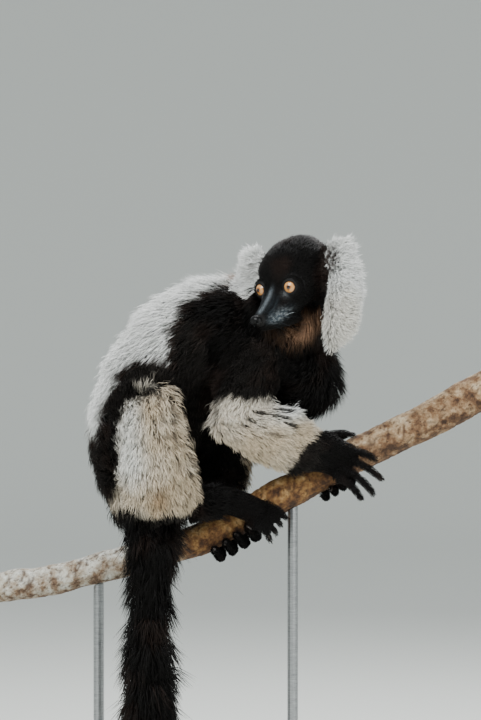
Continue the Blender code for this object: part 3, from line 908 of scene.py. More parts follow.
def paint_face(paint, points, skull, kinds):
    """The muzzle's painted highlights on its ridge, lips and eye corners, painted shade in the eye grooves,
    and the tan throat.
    """
    face = np.isin(kinds, ("head", "jaw", "nose", "eye"))
    x, y, z = skull.T
    aside = np.abs(y)
    ridge_highlight = bell(aside / 2.8)
    flank_highlight = bell((aside - 8.5) / 2.4) * ramp(x, 42, 52) * (1 - ramp(x, 68, 76))
    bridge_highlight = ramp(x, 36, 50) * (1 - ramp(x, 70, 76)) * ramp(z, -30, -18)
    lips = bell((x - 60) / 13, (z + 26) / 6) * ramp(aside, 5, 10)
    groove_gap = beside(np.stack([x, aside], 1), GROOVE)[0]
    throat = bell((x - 21) / 12, (z + 61) / 10) * (1 - ramp(aside, 26, 38))
    # Painted highlights in slate and silver along the ridge of the muzzle and on its sides.
    paint("slate", bridge_highlight * (ridge_highlight + 0.5 * flank_highlight) * (0.8 + 0.2 * ripple(points, 5, 14)), face)
    paint("silver", 0.3 * bridge_highlight * ridge_highlight, face)
    # Painted sheen in slate on the lips, flecked with silver.
    paint("slate", lips, face)
    paint("silver", 0.9 * lips * ramp(ripple(points, 2.2, 7), -0.1, 0.5), face)
    # Painted shade: a dark line in each eye groove.
    paint("black", 0.9 * bell(groove_gap / 1.4) * ramp(z, -26, -20), face)
    # Painted highlight in silver at the inner corner of each eye.
    paint("silver", 0.9 * bell((x - 39) / 14**0.5, (z + 11) / 14**0.5, (aside - 12) / 3.5), face)
    under = np.isin(kinds, ("neck", "jaw", "head", "chest"))
    paint("tan", 1.2 * throat * ramp(ripple(points, 12, 8), -1.2, -0.3), under)


print("the ruff starts", round(-past_ruff_edge(np.array([(0.0, 0.0, 0.0)]))[0], 1), "mm from the middle")


# %% All the markings, and the skin painted with them
def markings(points, normals, kinds, sides):
    """The coat's colour at points given in millimetres from the seat."""
    wobble = ripple(points, 9) * 4 + ripple(points, 3.5, 1) * 2
    skull = (points - SKULL) @ HEAD_AXES.T
    shade = np.tile(PAINT["black"], (len(points), 1))

    def paint(name, cover, where=True):
        """Lays one colour over the others."""
        cover = (np.clip(cover, 0, 1) * where)[:, None]
        shade[:] = shade * (1 - cover) + PAINT[name] * cover

    paint("brown", 0.55 * ramp(ripple(points, 30, 2), 0.0, 0.9))
    paint_trunk(paint, points, kinds, wobble)
    paint_legs(paint, points, normals, kinds, sides, wobble)
    paint_arms(paint, points, kinds, sides, wobble)
    paint_ears(paint, points, skull, kinds, sides, wobble)
    paint_face(paint, points, skull, kinds)
    return shade


# Little light reaches the skin through the hair, so it is painted darker than the coat, and most so
# where the hair is black.
skin_shade = markings(body_place, normals, kinds, sides)
under_hair = skin_shade * (0.42 + 0.4 * skin_shade[:, 2:])
attribute = skin.data.color_attributes.new("coat", "FLOAT_COLOR", "POINT")
hand_over(attribute.data, "color", np.c_[under_hair, np.ones(len(skin_shade))])
print("white share of the skin:", round(float((skin_shade[:, 2] > 0.4).mean()), 2))

# %% [markdown]
# ## Finishes of the skin and the hair
#
# Fur looks soft because light meets thousands of rounded hairs. Each tuft here is a small solid, so its
# material only needs the hair's own finish: black guard hair is smooth and shines, white and cream
# underfur is matt. The colour comes from the piece's own colour attribute, with painted shade at the
# roots and a little painted sheen at the tips.

# %% Materials of the hair
HAIR_STREAK = 2.5


def hair_material(name, roughness, specular, sheen, streak):
    """Hair that takes its colour from the attribute coat, with faint streaks across it."""
    material, shader = new_material(name)
    coat = add(material, "ShaderNodeAttribute", attribute_name="coat")
    place = add(material, "ShaderNodeTexCoord")
    fine = add(material, "ShaderNodeTexNoise", Vector=place.outputs["Object"], Scale=1 / (HAIR_STREAK * MM),
               Detail=3.0)
    light = add(material, "ShaderNodeMapRange", Value=fine.outputs["Fac"], From_Min=0.3, From_Max=0.7,
                To_Min=1 - streak, To_Max=1 + streak)
    tinted = add(material, "ShaderNodeVectorMath", operation="SCALE", Vector=coat.outputs["Color"],
                 Scale=light.outputs["Result"])
    set_up(material, shader, Roughness=roughness, Specular_IOR_Level=specular, Sheen_Weight=sheen,
           Sheen_Roughness=0.45, Sheen_Tint=colour("#F0E2D4"), Base_Color=tinted.outputs["Vector"])
    return material


# Guard hair is smooth keratin, so black hair glints. Underfur is fine and crimped, so it is matt, with a
# faint pale sheen at its outline. Real hairs are 0.05 mm thick, so the streaks are drawn 2.5 mm wide.
black_hair = hair_material("glossy black guard hair", 0.52, 0.14, 0.0, 0.25)
white_hair = hair_material("soft white underfur", 0.85, 0.15, 0.08, 0.05)
cream_wool = hair_material("matt cream wool", 0.90, 0.15, 0.06, 0.08)
print("kinds of hair:", ", ".join(m.name for m in (black_hair, white_hair, cream_wool)))

# %% Material of the skin
# Skin under hair is dry and uneven, so it is dull. Its pores are drawn 1.2 mm apart so that they show.
PORES = 1.2
hide, hide_shader = new_material("bare dark skin")
coat = add(hide, "ShaderNodeAttribute", attribute_name="coat")
place = add(hide, "ShaderNodeTexCoord")
pores = add(hide, "ShaderNodeTexVoronoi", Vector=place.outputs["Object"], Scale=1 / (PORES * MM))
dents = add(hide, "ShaderNodeBump", Height=pores.outputs["Distance"], Strength=0.35, Distance=0.3 * MM)
shade = add(hide, "ShaderNodeMapRange", Value=pores.outputs["Distance"], To_Min=0.8, To_Max=1.15)
tinted = add(hide, "ShaderNodeVectorMath", operation="SCALE", Vector=coat.outputs["Color"],
             Scale=shade.outputs["Result"])
set_up(hide, hide_shader, Roughness=0.7, Specular_IOR_Level=0.25, Base_Color=tinted.outputs["Vector"],
       Normal=dents.outputs["Normal"])
skin.data.materials.append(hide)
print("pores are", PORES, "mm apart")

# %% [markdown]
# ## The coat
#
# Particle hair would be lost when the model is exported, so the coat is solid. A tuft is a slim closed
# spindle: a point sunk in the skin, one or two three-sided rings, and a tip. Thousands of them are
# worked out together as arrays and become one mesh for each stretch of the body. Roots are scattered
# evenly over the skin, tips lean along the lie of the hair up to the outline of the coat, and tufts that
# share a lock bend together, which breaks the coat into the soft clumps of real fur.

# %% The kinds of coat
# Space between tufts, their length and width in millimetres; rise is how far they stand up towards the
# coat's outline; spread is how far a tuft strays from the lie in radians; clump is the size of a lock in
# millimetres and pull how strongly it gathers; curl bends a tuft sideways. Face, crown, hand and digit
# are short and close, arm and heel shaggy, mane, back, wool and tail long and full.
WORDS = ("space", "length", "width", "rise", "spread", "clump", "pull", "curl", "rings")
COAT_ROWS = {
    "face": (0.90, 4.2, 0.65, 0.50, 0.22, 4, 0.2, 0.1, 1),
    "crown": (1.00, 10, 0.8, 0.9, 0.22, 6, 0.25, 0.4, 1),
    "hand": (1.2, 8, 0.85, 1.1, 0.22, 5, 0.3, 0.3, 1),
    "digit": (0.95, 5, 0.75, 4.0, 0.18, 4, 0.2, 0.1, 1),
    "whisker": (4.5, 24, 0.42, 6.0, 0.4, 9, 0.0, 2.0, 2),
    "ear": (0.95, 10, 0.75, 0.8, 0.40, 5, 0.3, 0.7, 2),
    "ruff": (1.00, 19, 0.72, 0.95, 0.34, 9, 0.35, 1.6, 2),
    "mane": (1.48, 31, 1.15, 1.12, 0.26, 10, 0.35, 1.6, 1),
    "back": (1.52, 32, 1.15, 1.12, 0.24, 10, 0.35, 1.6, 2),
    "arm": (1.25, 16, 0.85, 0.88, 0.26, 6, 0.35, 1.2, 2),
    "heel": (1.25, 15, 0.95, 3.2, 0.35, 7, 0.3, 1.2, 1),
    "wool": (1.36, 23, 1.0, 1.10, 0.32, 8, 0.5, 1.8, 2),
    "tail": (1.52, 42, 1.15, 1.15, 0.30, 12, 0.35, 2.2, 1),
}
COATS = {kind: dict(zip(WORDS, row)) for kind, row in COAT_ROWS.items()}
COAT_OF = {
    "jaw": "face", "nose": "face", "eye": "face", "head": "crown", "ear": "ear", "ruff": "ruff",
    "chest": "mane", "neck": "mane", "loin": "back", "rump": "back", "tail": "tail",
    "upper_arm": "wool", "forearm": "arm", "hand": "hand", "finger": "digit",
    "thigh": "wool", "shank": "wool", "foot": "hand", "toe": "digit",
}
print("kinds of coat:", len(COATS))

# %% Which coat grows on which face of the skin
CROWN_START, CROWN_END = 8, 32
HEEL_REACH = 32
NOSE_HOLE, NOSE_HOLE_SIZE = (84, 0, -18), (10, 10.5, 9.5)
EDGE_REACH = 22
chance = np.random.default_rng(7)

skin.data.calc_loop_triangles()
corners = np.empty(len(skin.data.loop_triangles) * 3, np.int32)
skin.data.loop_triangles.foreach_get("vertices", corners)
corners = corners.reshape(-1, 3)
a, b, c = (skin_points[corners[:, i]] for i in range(3))
area = np.linalg.norm(np.cross(b - a, c - a), axis=1) / 2 / MM**2
face_kind, face_side = kinds[corners[:, 0]], sides[corners[:, 0]]
face_coat = np.array([COAT_OF[k] for k in kinds])[corners[:, 0]]
face_skull = skull_place[corners].mean(1)
to_crown = np.where(face_coat == "crown", 1 - ramp(face_skull[:, 0], 0, CROWN_END), 0)
face_coat[(face_coat == "crown") & (face_skull[:, 0] > CROWN_START)] = "face"
for side in MIRROR:
    from_ankle = np.linalg.norm(body_place[corners].mean(1) - joint(side, "ankle"), axis=1)
    face_coat[(face_kind == "foot") & (from_ankle < HEEL_REACH)] = "heel"

# No hair grows in the eyes or where the nose sits, and it is shorter near the white hair's edge.
bare = np.linalg.norm((face_skull - NOSE_HOLE) / NOSE_HOLE_SIZE, axis=1) < 1
for side in (1, -1):
    _, far, angle = from_gaze(face_skull, side)
    bare |= (far < EYE_RADIUS + 3) & (angle < EYE_OPENING + math.radians(5))
from_edge = ramp(past_ruff_edge(face_skull), 0, EDGE_REACH)
print("skin area in cm2:", round(area.sum() / 100))

# %% [markdown]
# Each stretch also gets a flat map, so that its finish can be baked. The skin under it is unwrapped like
# a hide laid flat, and every tuft takes a small square of the map round its own root.

# %% A flat pattern of a stretch of skin
ISLAND_MARGIN, FLAT_ENOUGH = 0.004, math.radians(75)


def flat_pattern(faces):
    """Unwraps a stretch of the skin by itself and returns each of its corners' place on the flat map."""
    mesh = bpy.data.meshes.new("stretch of skin")
    used, index = np.unique(corners[faces], return_inverse=True)
    mesh.from_pydata(skin_points[used].tolist(), [], index.reshape(-1, 3).tolist())
    stretch = bpy.data.objects.new("stretch of skin", mesh)
    bpy.context.scene.collection.objects.link(stretch)
    pick(stretch)
    bpy.ops.object.mode_set(mode="EDIT")
    bpy.ops.mesh.select_all(action="SELECT")
    bpy.ops.uv.smart_project(angle_limit=FLAT_ENOUGH, island_margin=ISLAND_MARGIN)
    bpy.ops.object.mode_set(mode="OBJECT")
    flat_places = np.empty(len(mesh.loops) * 2, np.float32)
    mesh.uv_layers.active.data.foreach_get("uv", flat_places)
    bpy.data.objects.remove(stretch)
    bpy.data.meshes.remove(mesh)
    return flat_places.reshape(-1, 3, 2)


print("skin bends up to", round(math.degrees(FLAT_ENOUGH)), "degrees within one island of the map")

# %% [markdown]
# A tuft is worked out from its root outwards. Roots are scattered by area, so small and large faces of
# the skin get the same density. The tip lies along the hair's way, as high as the coat is deep there,
# and the rings between them bow up, so that the coat looks full and doesn't lie flat like scales. One
# tuft in eight stands out of the coat by itself, as loose hair does.

# %% Where the tufts root
RIGHT_EAR_RISE = 2.2


def coat_values(faces, coat):
    """What the kind of coat says at each face; coat, if given, is one kind for all of them."""
    kind = face_coat[faces] if coat is None else np.full(len(faces), coat)
    values = {word: np.array([COATS[k][word] for k in kind], float) for word in WORDS}
    values["length"] *= 0.5 + 0.5 * np.where(np.isin(kind, ("ear", "ruff")), from_edge[faces], 1)
    values["rise"] *= np.where((kind == "ear") & (face_side[faces] == "right"), RIGHT_EAR_RISE, 1)
    if kind[0] in ("face", "crown"):
        for word, value in values.items():
            value += (COATS["crown"][word] - COATS["face"][word]) * (to_crown[faces] - (kind == "crown"))
    return values


def scatter(faces, space):
    """Spreads roots evenly: the face under each one, and its share of that face's three corners."""
    wanted = np.cumsum(area[faces] / space**2)
    count = int(wanted[-1])
    picks = (np.arange(count) + chance.random(count)) * wanted[-1] / count
    chosen = np.searchsorted(wanted, picks).clip(0, len(faces) - 1)
    u, v = chance.random((2, count))
    over = u + v > 1
    u[over], v[over] = 1 - u[over], 1 - v[over]
    return chosen, np.stack([1 - u - v, u, v], 1)[:, :, None]


print("tufts per cm2 on the back:", round(100 / COATS["back"]["space"] ** 2))

# %% Locks of hair
LOCK_SIZE, LOCK_SHARE = 9, 0.035


def gather(roots, tips, size, pull):
    """Bends tufts that share a lock towards the lock's middle tuft."""
    count = max(1, int(len(roots) * LOCK_SHARE * (LOCK_SIZE / size)))
    heads = chance.choice(len(roots), count, replace=False)
    tree = kdtree.KDTree(count)
    for i, head in enumerate(heads):
        tree.insert(Vector(roots[head]), i)
    tree.balance()
    lock = heads[[tree.find(Vector(p))[1] for p in roots]]
    strength = pull * chance.uniform(0.5, 1.2, len(roots))[:, None]
    wanted = tips[lock] + 0.35 * (roots - roots[lock])
    return tips + (wanted - tips) * strength


print("tufts in a lock", LOCK_SIZE, "mm across:", round(1 / LOCK_SHARE))

# %% The shape of a tuft
# The most that a tuft can stand up, as a share of its length; the share of tufts that stand out; how
# deep a root sits, in millimetres; and where the rings lie along a tuft that has one or two of them.
LONGEST_STAND, LOOSE_SHARE = 0.92, 0.12
ROOT_DEPTH = 0.9
STEPS_OF = {1: (0.42,), 2: (0.30, 0.68)}


def spindles(root, up, way, deep, own, rings):
    """The corners of the tufts: a root under the skin, one or two rings of three, and a tip."""
    count = len(root)
    across = np.cross(up, way)
    stray = chance.normal(0, 1, count) * own["spread"]
    way = way * np.cos(stray)[:, None] + across * np.sin(stray)[:, None]
    length = own["length"] * chance.uniform(0.7, 1.15, count)
    stand = chance.uniform(0.55, 1.05, count)
    stand = stand + 0.3 * (chance.random(count) < LOOSE_SHARE) * (own["length"] > 12)
    height = np.minimum(deep * own["rise"] * stand + 0.3, LONGEST_STAND * length)
    reach = np.sqrt(length**2 - height**2)
    tip = root + way * reach[:, None] + up * height[:, None]
    tip = gather(root, tip, float(own["clump"].mean()), float(own["pull"].mean()))
    curl = across * (own["curl"] * chance.normal(0, 1, count))[:, None]
    width = own["width"] * chance.uniform(0.7, 1.3, count)

    points = [root - up * ROOT_DEPTH]
    before = root
    for step in STEPS_OF[rings]:
        bow = up * (height * (1 - (1 - step) ** 2) - height * step)[:, None]
        centre = root + (tip - root) * step + bow + curl * math.sin(math.pi * step * 1.6)
        ahead = unit(tip - before)
        wide = unit(np.cross(ahead, up)) * (width * (0.5 if step < 0.5 else 0.36))[:, None]
        thick = unit(np.cross(wide, ahead)) * (width * 0.30)[:, None]
        points += [centre + wide, centre - wide, centre + thick]
        before = centre
    return np.stack([*points, tip], 1), tip


def spindle_faces(rings):
    """The triangles of one tuft: its lower point, the sides between its rings, and its tip."""
    last = 3 * rings + 1
    around = ((1, 2), (2, 3), (3, 1))
    faces = [(0, 2, 1), (0, 3, 2), (0, 1, 3)]
    if rings == 2:
        for i, j in around:
            faces += [(i, j, j + 3), (i, j + 3, i + 3)]
    return np.array(faces + [(last - 4 + i, last - 4 + j, last) for i, j in around])


for rings in STEPS_OF:
    print("a tuft with", rings, "rings has", len(spindle_faces(rings)), "faces")

# %% One mesh of many tufts
# A tuft's corners lie on the flat map in a square, from its root at the bottom to its tip at the top.
PATCH = 0.003
SQUARE = ((0.5, 0), (0, 0.4), (1, 0.4), (0.5, 0.5), (0, 0.7), (1, 0.7), (0.5, 0.8), (0.5, 1))


def tuft_mesh(title, placed, triangles, shades, flat):
    """Makes one mesh of all the tufts' corners, triangles, colours and places on the flat map."""
    mesh = bpy.data.meshes.new(title)
    mesh.vertices.add(placed.shape[0] * placed.shape[1])
    hand_over(mesh.vertices, "co", placed * MM)
    mesh.loops.add(len(triangles) * 3)
    hand_over(mesh.loops, "vertex_index", triangles, np.int32)
    mesh.polygons.add(len(triangles))
    hand_over(mesh.polygons, "loop_start", np.arange(0, len(triangles) * 3, 3), np.int32)
    mesh.update(calc_edges=True)
    coat = mesh.color_attributes.new("coat", "FLOAT_COLOR", "POINT")
    hand_over(coat.data, "color", np.concatenate([shades, np.ones((*shades.shape[:2], 1))], 2))
    layer = mesh.uv_layers.new(name="OFBake")
    hand_over(layer.data, "uv", flat.reshape(-1, 2)[triangles.ravel()])
    mesh.shade_smooth()
    return mesh


print("a tuft covers", round(100 * PATCH, 1), "percent of the flat map's width")

# %% One stretch of coat
# Painted light along a tuft, as a share of its own colour: shade at its root and first ring, and a
# little sheen at its tip.
ROOT_LIGHT, RING_LIGHT, TIP_LIGHT = 0.62, (0.86, 1.0), 1.08
BRIGHTEST = 0.93


def tufts(title, faces, material, slot, coat=None):
    """Covers a stretch of the skin with tufts, as one mesh; coat names a kind of coat for all of it."""
    values = coat_values(faces, coat)
    chosen, share = scatter(faces, values["space"])
    own = {word: value[chosen] for word, value in values.items()}
    rings = int(own["rings"].max())
    under = corners[faces[chosen]]
    root = (skin_points[under] * share).sum(1) / MM
    up = unit((normals[under] * share).sum(1))
    way = (lie[under] * share).sum(1)
    way = unit(way - up * (way * up).sum(1)[:, None])
    deep = (skin_depth[under] * share[:, :, 0]).sum(1)
    placed, tip = spindles(root, up, way, deep, own, rings)
    count, per = placed.shape[:2]
    triangles = (np.arange(count)[:, None, None] * per + spindle_faces(rings)[None]).reshape(-1, 3)

    # A tuft takes the colour of the place where its outer part lies, with painted shade at its root and
    # painted sheen at its tip.
    seen = 0.35 * root + 0.65 * tip
    shade = markings(seen - SEAT, up, kinds[under[:, 0]], sides[under[:, 0]])
    shade = shade * chance.uniform(0.86, 1.12, count)[:, None]
    along = np.array([ROOT_LIGHT, *np.repeat(RING_LIGHT[:rings], 3), TIP_LIGHT])
    shades = np.clip(shade[:, None, :] * along[None, :, None], 0, BRIGHTEST)

    flat_root = (flat_pattern(faces)[chosen] * share).sum(1)
    square = np.array([SQUARE[0], *SQUARE[1:1 + 3 * rings], SQUARE[-1]])
    flat = np.clip(flat_root[:, None, :] + (square - 0.5) * PATCH, 0, 1)
    mesh = tuft_mesh(title, placed, triangles, shades, flat)
    mesh.materials.append(material)
    piece = bpy.data.objects.new(title, mesh)
    bpy.context.scene.collection.objects.link(piece)
    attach(piece, "root")
    print(f"{title}: {count} tufts, {len(triangles)} triangles")
    return piece


print("from root to tip a tuft turns", round(TIP_LIGHT / ROOT_LIGHT, 1), "times as light")

# %% All stretches
BLACK, WHITE, CREAM = (black_hair, "coat_black"), (white_hair, "coat_white"), (cream_wool, "coat_cream")


def of_part(*parts, side=None):
    """True on the skin's faces that belong to these parts, on one side or on both."""
    return np.isin(face_kind, parts) & (True if side is None else face_side == side)


STRETCHES = {
    "coat_face": (face_coat == "face", *BLACK),
    "coat_crown": (face_coat == "crown", *BLACK),
    "coat_ruff_left": (of_part("ear", "ruff", side="left"), *WHITE),
    "coat_ruff_right": (of_part("ear", "ruff", side="right"), *WHITE),
    "coat_shoulders": (of_part("chest", "neck"), *BLACK),
    "coat_loin": (of_part("loin"), *WHITE),
    "coat_rump": (of_part("rump"), *WHITE),
    "coat_hands": (of_part("hand", "finger"), *BLACK),
    "coat_feet": (of_part("foot", "toe"), *BLACK),
    "coat_tail": (of_part("tail"), *BLACK),
}
for side in MIRROR:
    STRETCHES["coat_arm_" + side] = (of_part("upper_arm", "forearm", side=side), *CREAM)
    STRETCHES["coat_leg_" + side] = (of_part("thigh", "shank", side=side), *CREAM)
coat_pieces = [tufts(title, np.flatnonzero(chosen & ~bare), material, slot)
               for title, (chosen, material, slot) in STRETCHES.items()]
print("stretches of coat:", len(coat_pieces))

# %% Whiskers
# They stand on the lips and in a sparse tuft over each eye.
BROW_SHARE = 0.3
x, y, z = face_skull.T
lip = (x > 56) & (x < 76) & (z < -21) & (np.abs(y) > 6)
brow = near_eyes(face_skull, LID_REACH) & (z > 6) & (x > 20) & (chance.random(len(area)) < BROW_SHARE)
whiskered = (lip | brow) & (face_coat == "face") & ~bare
coat_pieces.append(tufts("whiskers", np.flatnonzero(whiskered), *BLACK, "whisker"))
print("coat triangles:", sum(len(piece.data.polygons) for piece in coat_pieces))

# %% [markdown]
# ## Eyes
#
# A lemur's eye is nearly all iris: amber, paler at its outer edge, with a dark rim and a pupil that is
# small in daylight. The ball is turned so that its pole looks forward, which puts the iris's rings
# round the pole, and the clear cornea in front of it is a low dome of the same ball. The wet shine comes
# from a coat layer of the shader.

# %% The eye's own axes and its finish
IRIS_RADIUS, PUPIL_RADIUS, CORNEA_RISE = 6.9, 1.7, 0.9
RINGS_REACH, SPOKE_SHIFT = 8, 0.35


def eye_frame(side):
    """The eye's own axes in the world, with Z along its gaze and its middle as the place."""
    look = Vector(gaze(side) @ HEAD_AXES)
    upward = Vector(HEAD_AXES[2])
    across = upward.cross(look).normalized()
    turned = Matrix((across, look.cross(across), look)).transposed().to_4x4()
    return Matrix.Translation(on_head(*eye_place(side))) @ turned


def eye_material(name, side):
    """A wet amber eye: rings of colour by the distance from the gaze, and fine spokes in the iris."""
    # The cornea is clear and always wet, so under its film of tears it mirrors the lamps sharply.
    material, shader = new_material(name)
    middle, turned, _ = eye_frame(side).inverted().decompose()
    place = add(material, "ShaderNodeTexCoord")
    own = add(material, "ShaderNodeMapping", vector_type="POINT", Vector=place.outputs["Object"],
              Location=middle, Rotation=turned.to_euler())
    flat_own = add(material, "ShaderNodeVectorMath", operation="MULTIPLY", _0=own.outputs["Vector"],
                   _1=(1, 1, 0))
    out = add(material, "ShaderNodeVectorMath", operation="LENGTH", _0=flat_own.outputs["Vector"])
    spoke = add(material, "ShaderNodeVectorMath", operation="NORMALIZE", _0=flat_own.outputs["Vector"])
    fibres = add(material, "ShaderNodeTexNoise", Vector=spoke.outputs["Vector"], Scale=9.0, Detail=4.0)
    shift = add(material, "ShaderNodeMapRange", Value=fibres.outputs["Fac"], From_Min=0.3, From_Max=0.7,
                To_Min=-SPOKE_SHIFT * MM, To_Max=SPOKE_SHIFT * MM)
    ring = add(material, "ShaderNodeMath", operation="ADD", _0=out.outputs["Value"],
               _1=shift.outputs["Result"])
    share = add(material, "ShaderNodeMath", operation="DIVIDE", _0=ring.outputs["Value"],
                _1=RINGS_REACH * MM)
    edge = PUPIL_RADIUS / RINGS_REACH
    stops = ((edge - 0.02, "#050404"), (edge + 0.03, "#5A3014"), (0.32, "#A56A35"), (0.46, "#C99458"),
             (0.66, "#C58D50"), (0.73, "#7C4B25"), (0.79, "#140A06"))
    rings = add(material, "ShaderNodeValToRGB", stops, Fac=share.outputs["Value"])
    set_up(material, shader, Roughness=0.12, IOR=1.38, Coat_Weight=1.0, Coat_Roughness=0.02,
           Base_Color=rings.outputs["Color"])
    return material


print("iris:", 2 * IRIS_RADIUS, "mm across, pupil:", 2 * PUPIL_RADIUS, "mm")

# %% The eyeballs
for name in EYES:
    side = MIRROR[side_of(name)]
    bpy.ops.object.select_all(action="DESELECT")
    bpy.ops.mesh.primitive_uv_sphere_add(segments=64, ring_count=48, radius=EYE_RADIUS * MM,
                                         location=(0, 0, 0))
    ball = bpy.context.object
    ball.name = name + "_ball"
    for point in ball.data.vertices:
        out = math.hypot(point.co.x, point.co.y) / (IRIS_RADIUS * MM)
        if point.co.z > 0 and out < 1:
            point.co.z += CORNEA_RISE * MM * (1 - out * out) ** 1.5
    ball.data.transform(eye_frame(side))
    bpy.ops.object.shade_smooth()
    ball.data.materials.append(eye_material("wet amber eye, " + side_of(name), side))
    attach(ball, "root")
    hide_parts(name)
print("eyes:", 2 * EYE_RADIUS, "mm across")

# %% [markdown]
# ## Nose
#
# The tip of the muzzle is bare, damp, black leather. It starts as a small ball, wider than it is high.
# Two faces at its front corners are inset and pushed in for the nostrils, a crease runs down its middle,
# and a subdivision rounds it all off.

# %% The nose pad
NOSE_MIDDLE, NOSE_SIZE = np.array((82.0, 0.0, -18.0)), np.array((5.6, 7.0, 5.6))
CREASE_DEPTH, CREASE_WIDTH, LEAN_BACK = 0.9, 1.0, 0.10
NOSTRIL_ASIDE, NOSTRIL_BELOW = 3.6, 0.8


def to_head(piece):
    """Puts a mesh made in the head's axes, in millimetres, in its place on the head, in metres."""
    axes = Matrix(HEAD_AXES * MM).transposed().to_4x4()
    piece.data.transform(Matrix.Translation(at(*SKULL)) @ axes)
    piece.data.update()


bpy.ops.mesh.primitive_uv_sphere_add(segments=20, ring_count=14, radius=1, rotation=(0, math.pi / 2, 0))
nose = bpy.context.object
nose.name = "nose_pad"
bpy.ops.object.transform_apply(rotation=True)
for point in nose.data.vertices:
    point.co = Vector(NOSE_MIDDLE + np.array(point.co) * NOSE_SIZE)
    in_front = point.co.z < NOSE_MIDDLE[2] + 2
    point.co.x -= CREASE_DEPTH * math.exp(-(point.co.y / CREASE_WIDTH) ** 2) * in_front
    point.co.z -= LEAN_BACK * (NOSE_MIDDLE[0] + 5 - point.co.x)

# The faces where a nostril goes are inset twice: first a soft rim, then the hole itself.
middles = [Vector(p.center - Vector(NOSE_MIDDLE)) for p in nose.data.polygons]
holes = [abs(abs(m.y) - NOSTRIL_ASIDE) < 1.3 and abs(m.z + NOSTRIL_BELOW) < 1.5 and m.x > 2.5
         for m in middles]
select_faces(nose, holes)
bpy.ops.mesh.inset(thickness=0.35, depth=-0.3)
bpy.ops.mesh.inset(thickness=0.2, depth=-1.8)
bpy.ops.object.mode_set(mode="OBJECT")
finish_modifier(nose, "SUBSURF", levels=2, render_levels=2)
to_head(nose)
bpy.ops.object.shade_smooth()
print("nose:", len(nose.data.polygons), "faces,", sum(holes), "faces opened as nostrils")

# %% Damp nose leather
# Damp hairless skin is cobbled with little pads about 0.8 mm across and shines like wet rubber.
NOSE_PADS = 0.8
leather, leather_shader = new_material("damp nose leather")
place = add(leather, "ShaderNodeTexCoord")
pads = add(leather, "ShaderNodeTexVoronoi", Vector=place.outputs["Object"], Scale=1 / (NOSE_PADS * MM))
cobbles = add(leather, "ShaderNodeBump", Height=pads.outputs["Distance"], Strength=0.5, Distance=0.15 * MM,
              invert=True)
tone = add(leather, "ShaderNodeValToRGB", ((0.0, "#08090A"), (0.8, "#030304")), Fac=pads.outputs["Distance"])
set_up(leather, leather_shader, Roughness=0.28, Specular_IOR_Level=0.16, Coat_Weight=0.1,
       Base_Color=tone.outputs["Color"], Normal=cobbles.outputs["Normal"])
nose.data.materials.append(leather)
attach(nose, "root")
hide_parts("nose")
print("the pads of the nose are", NOSE_PADS, "mm across")

# %% [markdown]
# ## Skin rides on the body
#
# The skin stands for every solid of flesh. Eyes and nose have their own pieces.

# %% What the skin replaces
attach(skin, "root")
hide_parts(*[name for name in flesh if name not in (*EYES, "nose")])
print("skin triangles:", len(skin.data.loop_triangles))

# %% [markdown]
# ## Nails
#
# Lemurs have flat nails, not claws, apart from one grooming claw on each second toe. One nail is
# modelled: a block whose front is narrowed and bent down, softened by a subdivision. It is copied to
# the tip of every finger and toe, turned along the digit, with its back away from the branch.

# %% One nail
NAIL = Vector((4.6, 3.2, 0.8))
NARROWING, SIDE_FALL, TIP_FALL = 0.45, 3.36, 0.9


def nail_shape(title):
    """A nail that points along X with its back to +Z, its root at the origin, in metres."""
    bpy.ops.object.select_all(action="DESELECT")
    bpy.ops.mesh.primitive_cube_add(size=1, location=(0, 0, 0))
    nail = bpy.context.object
    nail.name = title
    bpy.ops.object.mode_set(mode="EDIT")
    bpy.ops.mesh.subdivide(number_cuts=3)
    bpy.ops.object.mode_set(mode="OBJECT")
    for point in nail.data.vertices:
        ahead = point.co.x + 0.5
        y = point.co.y * (1 - NARROWING * ahead**3)
        z = point.co.z - SIDE_FALL * y * y - TIP_FALL * ahead**2
        point.co = Vector((ahead * NAIL.x, y * NAIL.y, z * NAIL.z)) * MM
    finish_modifier(nail, "SUBSURF", levels=1, render_levels=1)
    bpy.ops.object.shade_smooth()
    return nail


print("a nail is", round(NAIL.x, 1), "mm long and", round(NAIL.y, 1), "mm wide")

# %% The end of a digit
skin_tree = BVHTree.FromPolygons(skin_points.tolist(), [p.vertices[:] for p in skin.data.polygons])
LAST_JOINT, RING_WIDTH = 11.5, 4.5
TIP_PROUD = 2


def digit_end(name):
    """The tip of a digit, the way it points and the way its back faces."""
    cloud, far = digit_corners(name)
    tip = cloud[far.argmax()]
    # The middle of the corners about one joint back from the tip tells which way the tip points.
    off_ring = np.abs(np.linalg.norm(cloud - tip, axis=1) - LAST_JOINT)
    behind = cloud[off_ring < max(RING_WIDTH, off_ring.min() + 1)].mean(0)
    way = unit(tip - behind)
    middle_of_tip = behind + way * ((tip - behind) @ way)
    hit = skin_tree.ray_cast(at(*(middle_of_tip + way * TIP_PROUD)), Vector(-way))[0]
    tip = seat_place(np.array(hit)) if hit else middle_of_tip - way * TIP_PROUD
    branch = np.array((tip[0], 0.0, np.interp(tip[0], *BRANCH_LINE.T)))
    back = tip - branch
    back = unit(back - way * (back @ way) + np.array((0, 0, 0.01)))
    return tip, way, back


print("the right first finger ends at", [round(v, 1) for v in digit_end("finger_right_1")[0]], "mm")

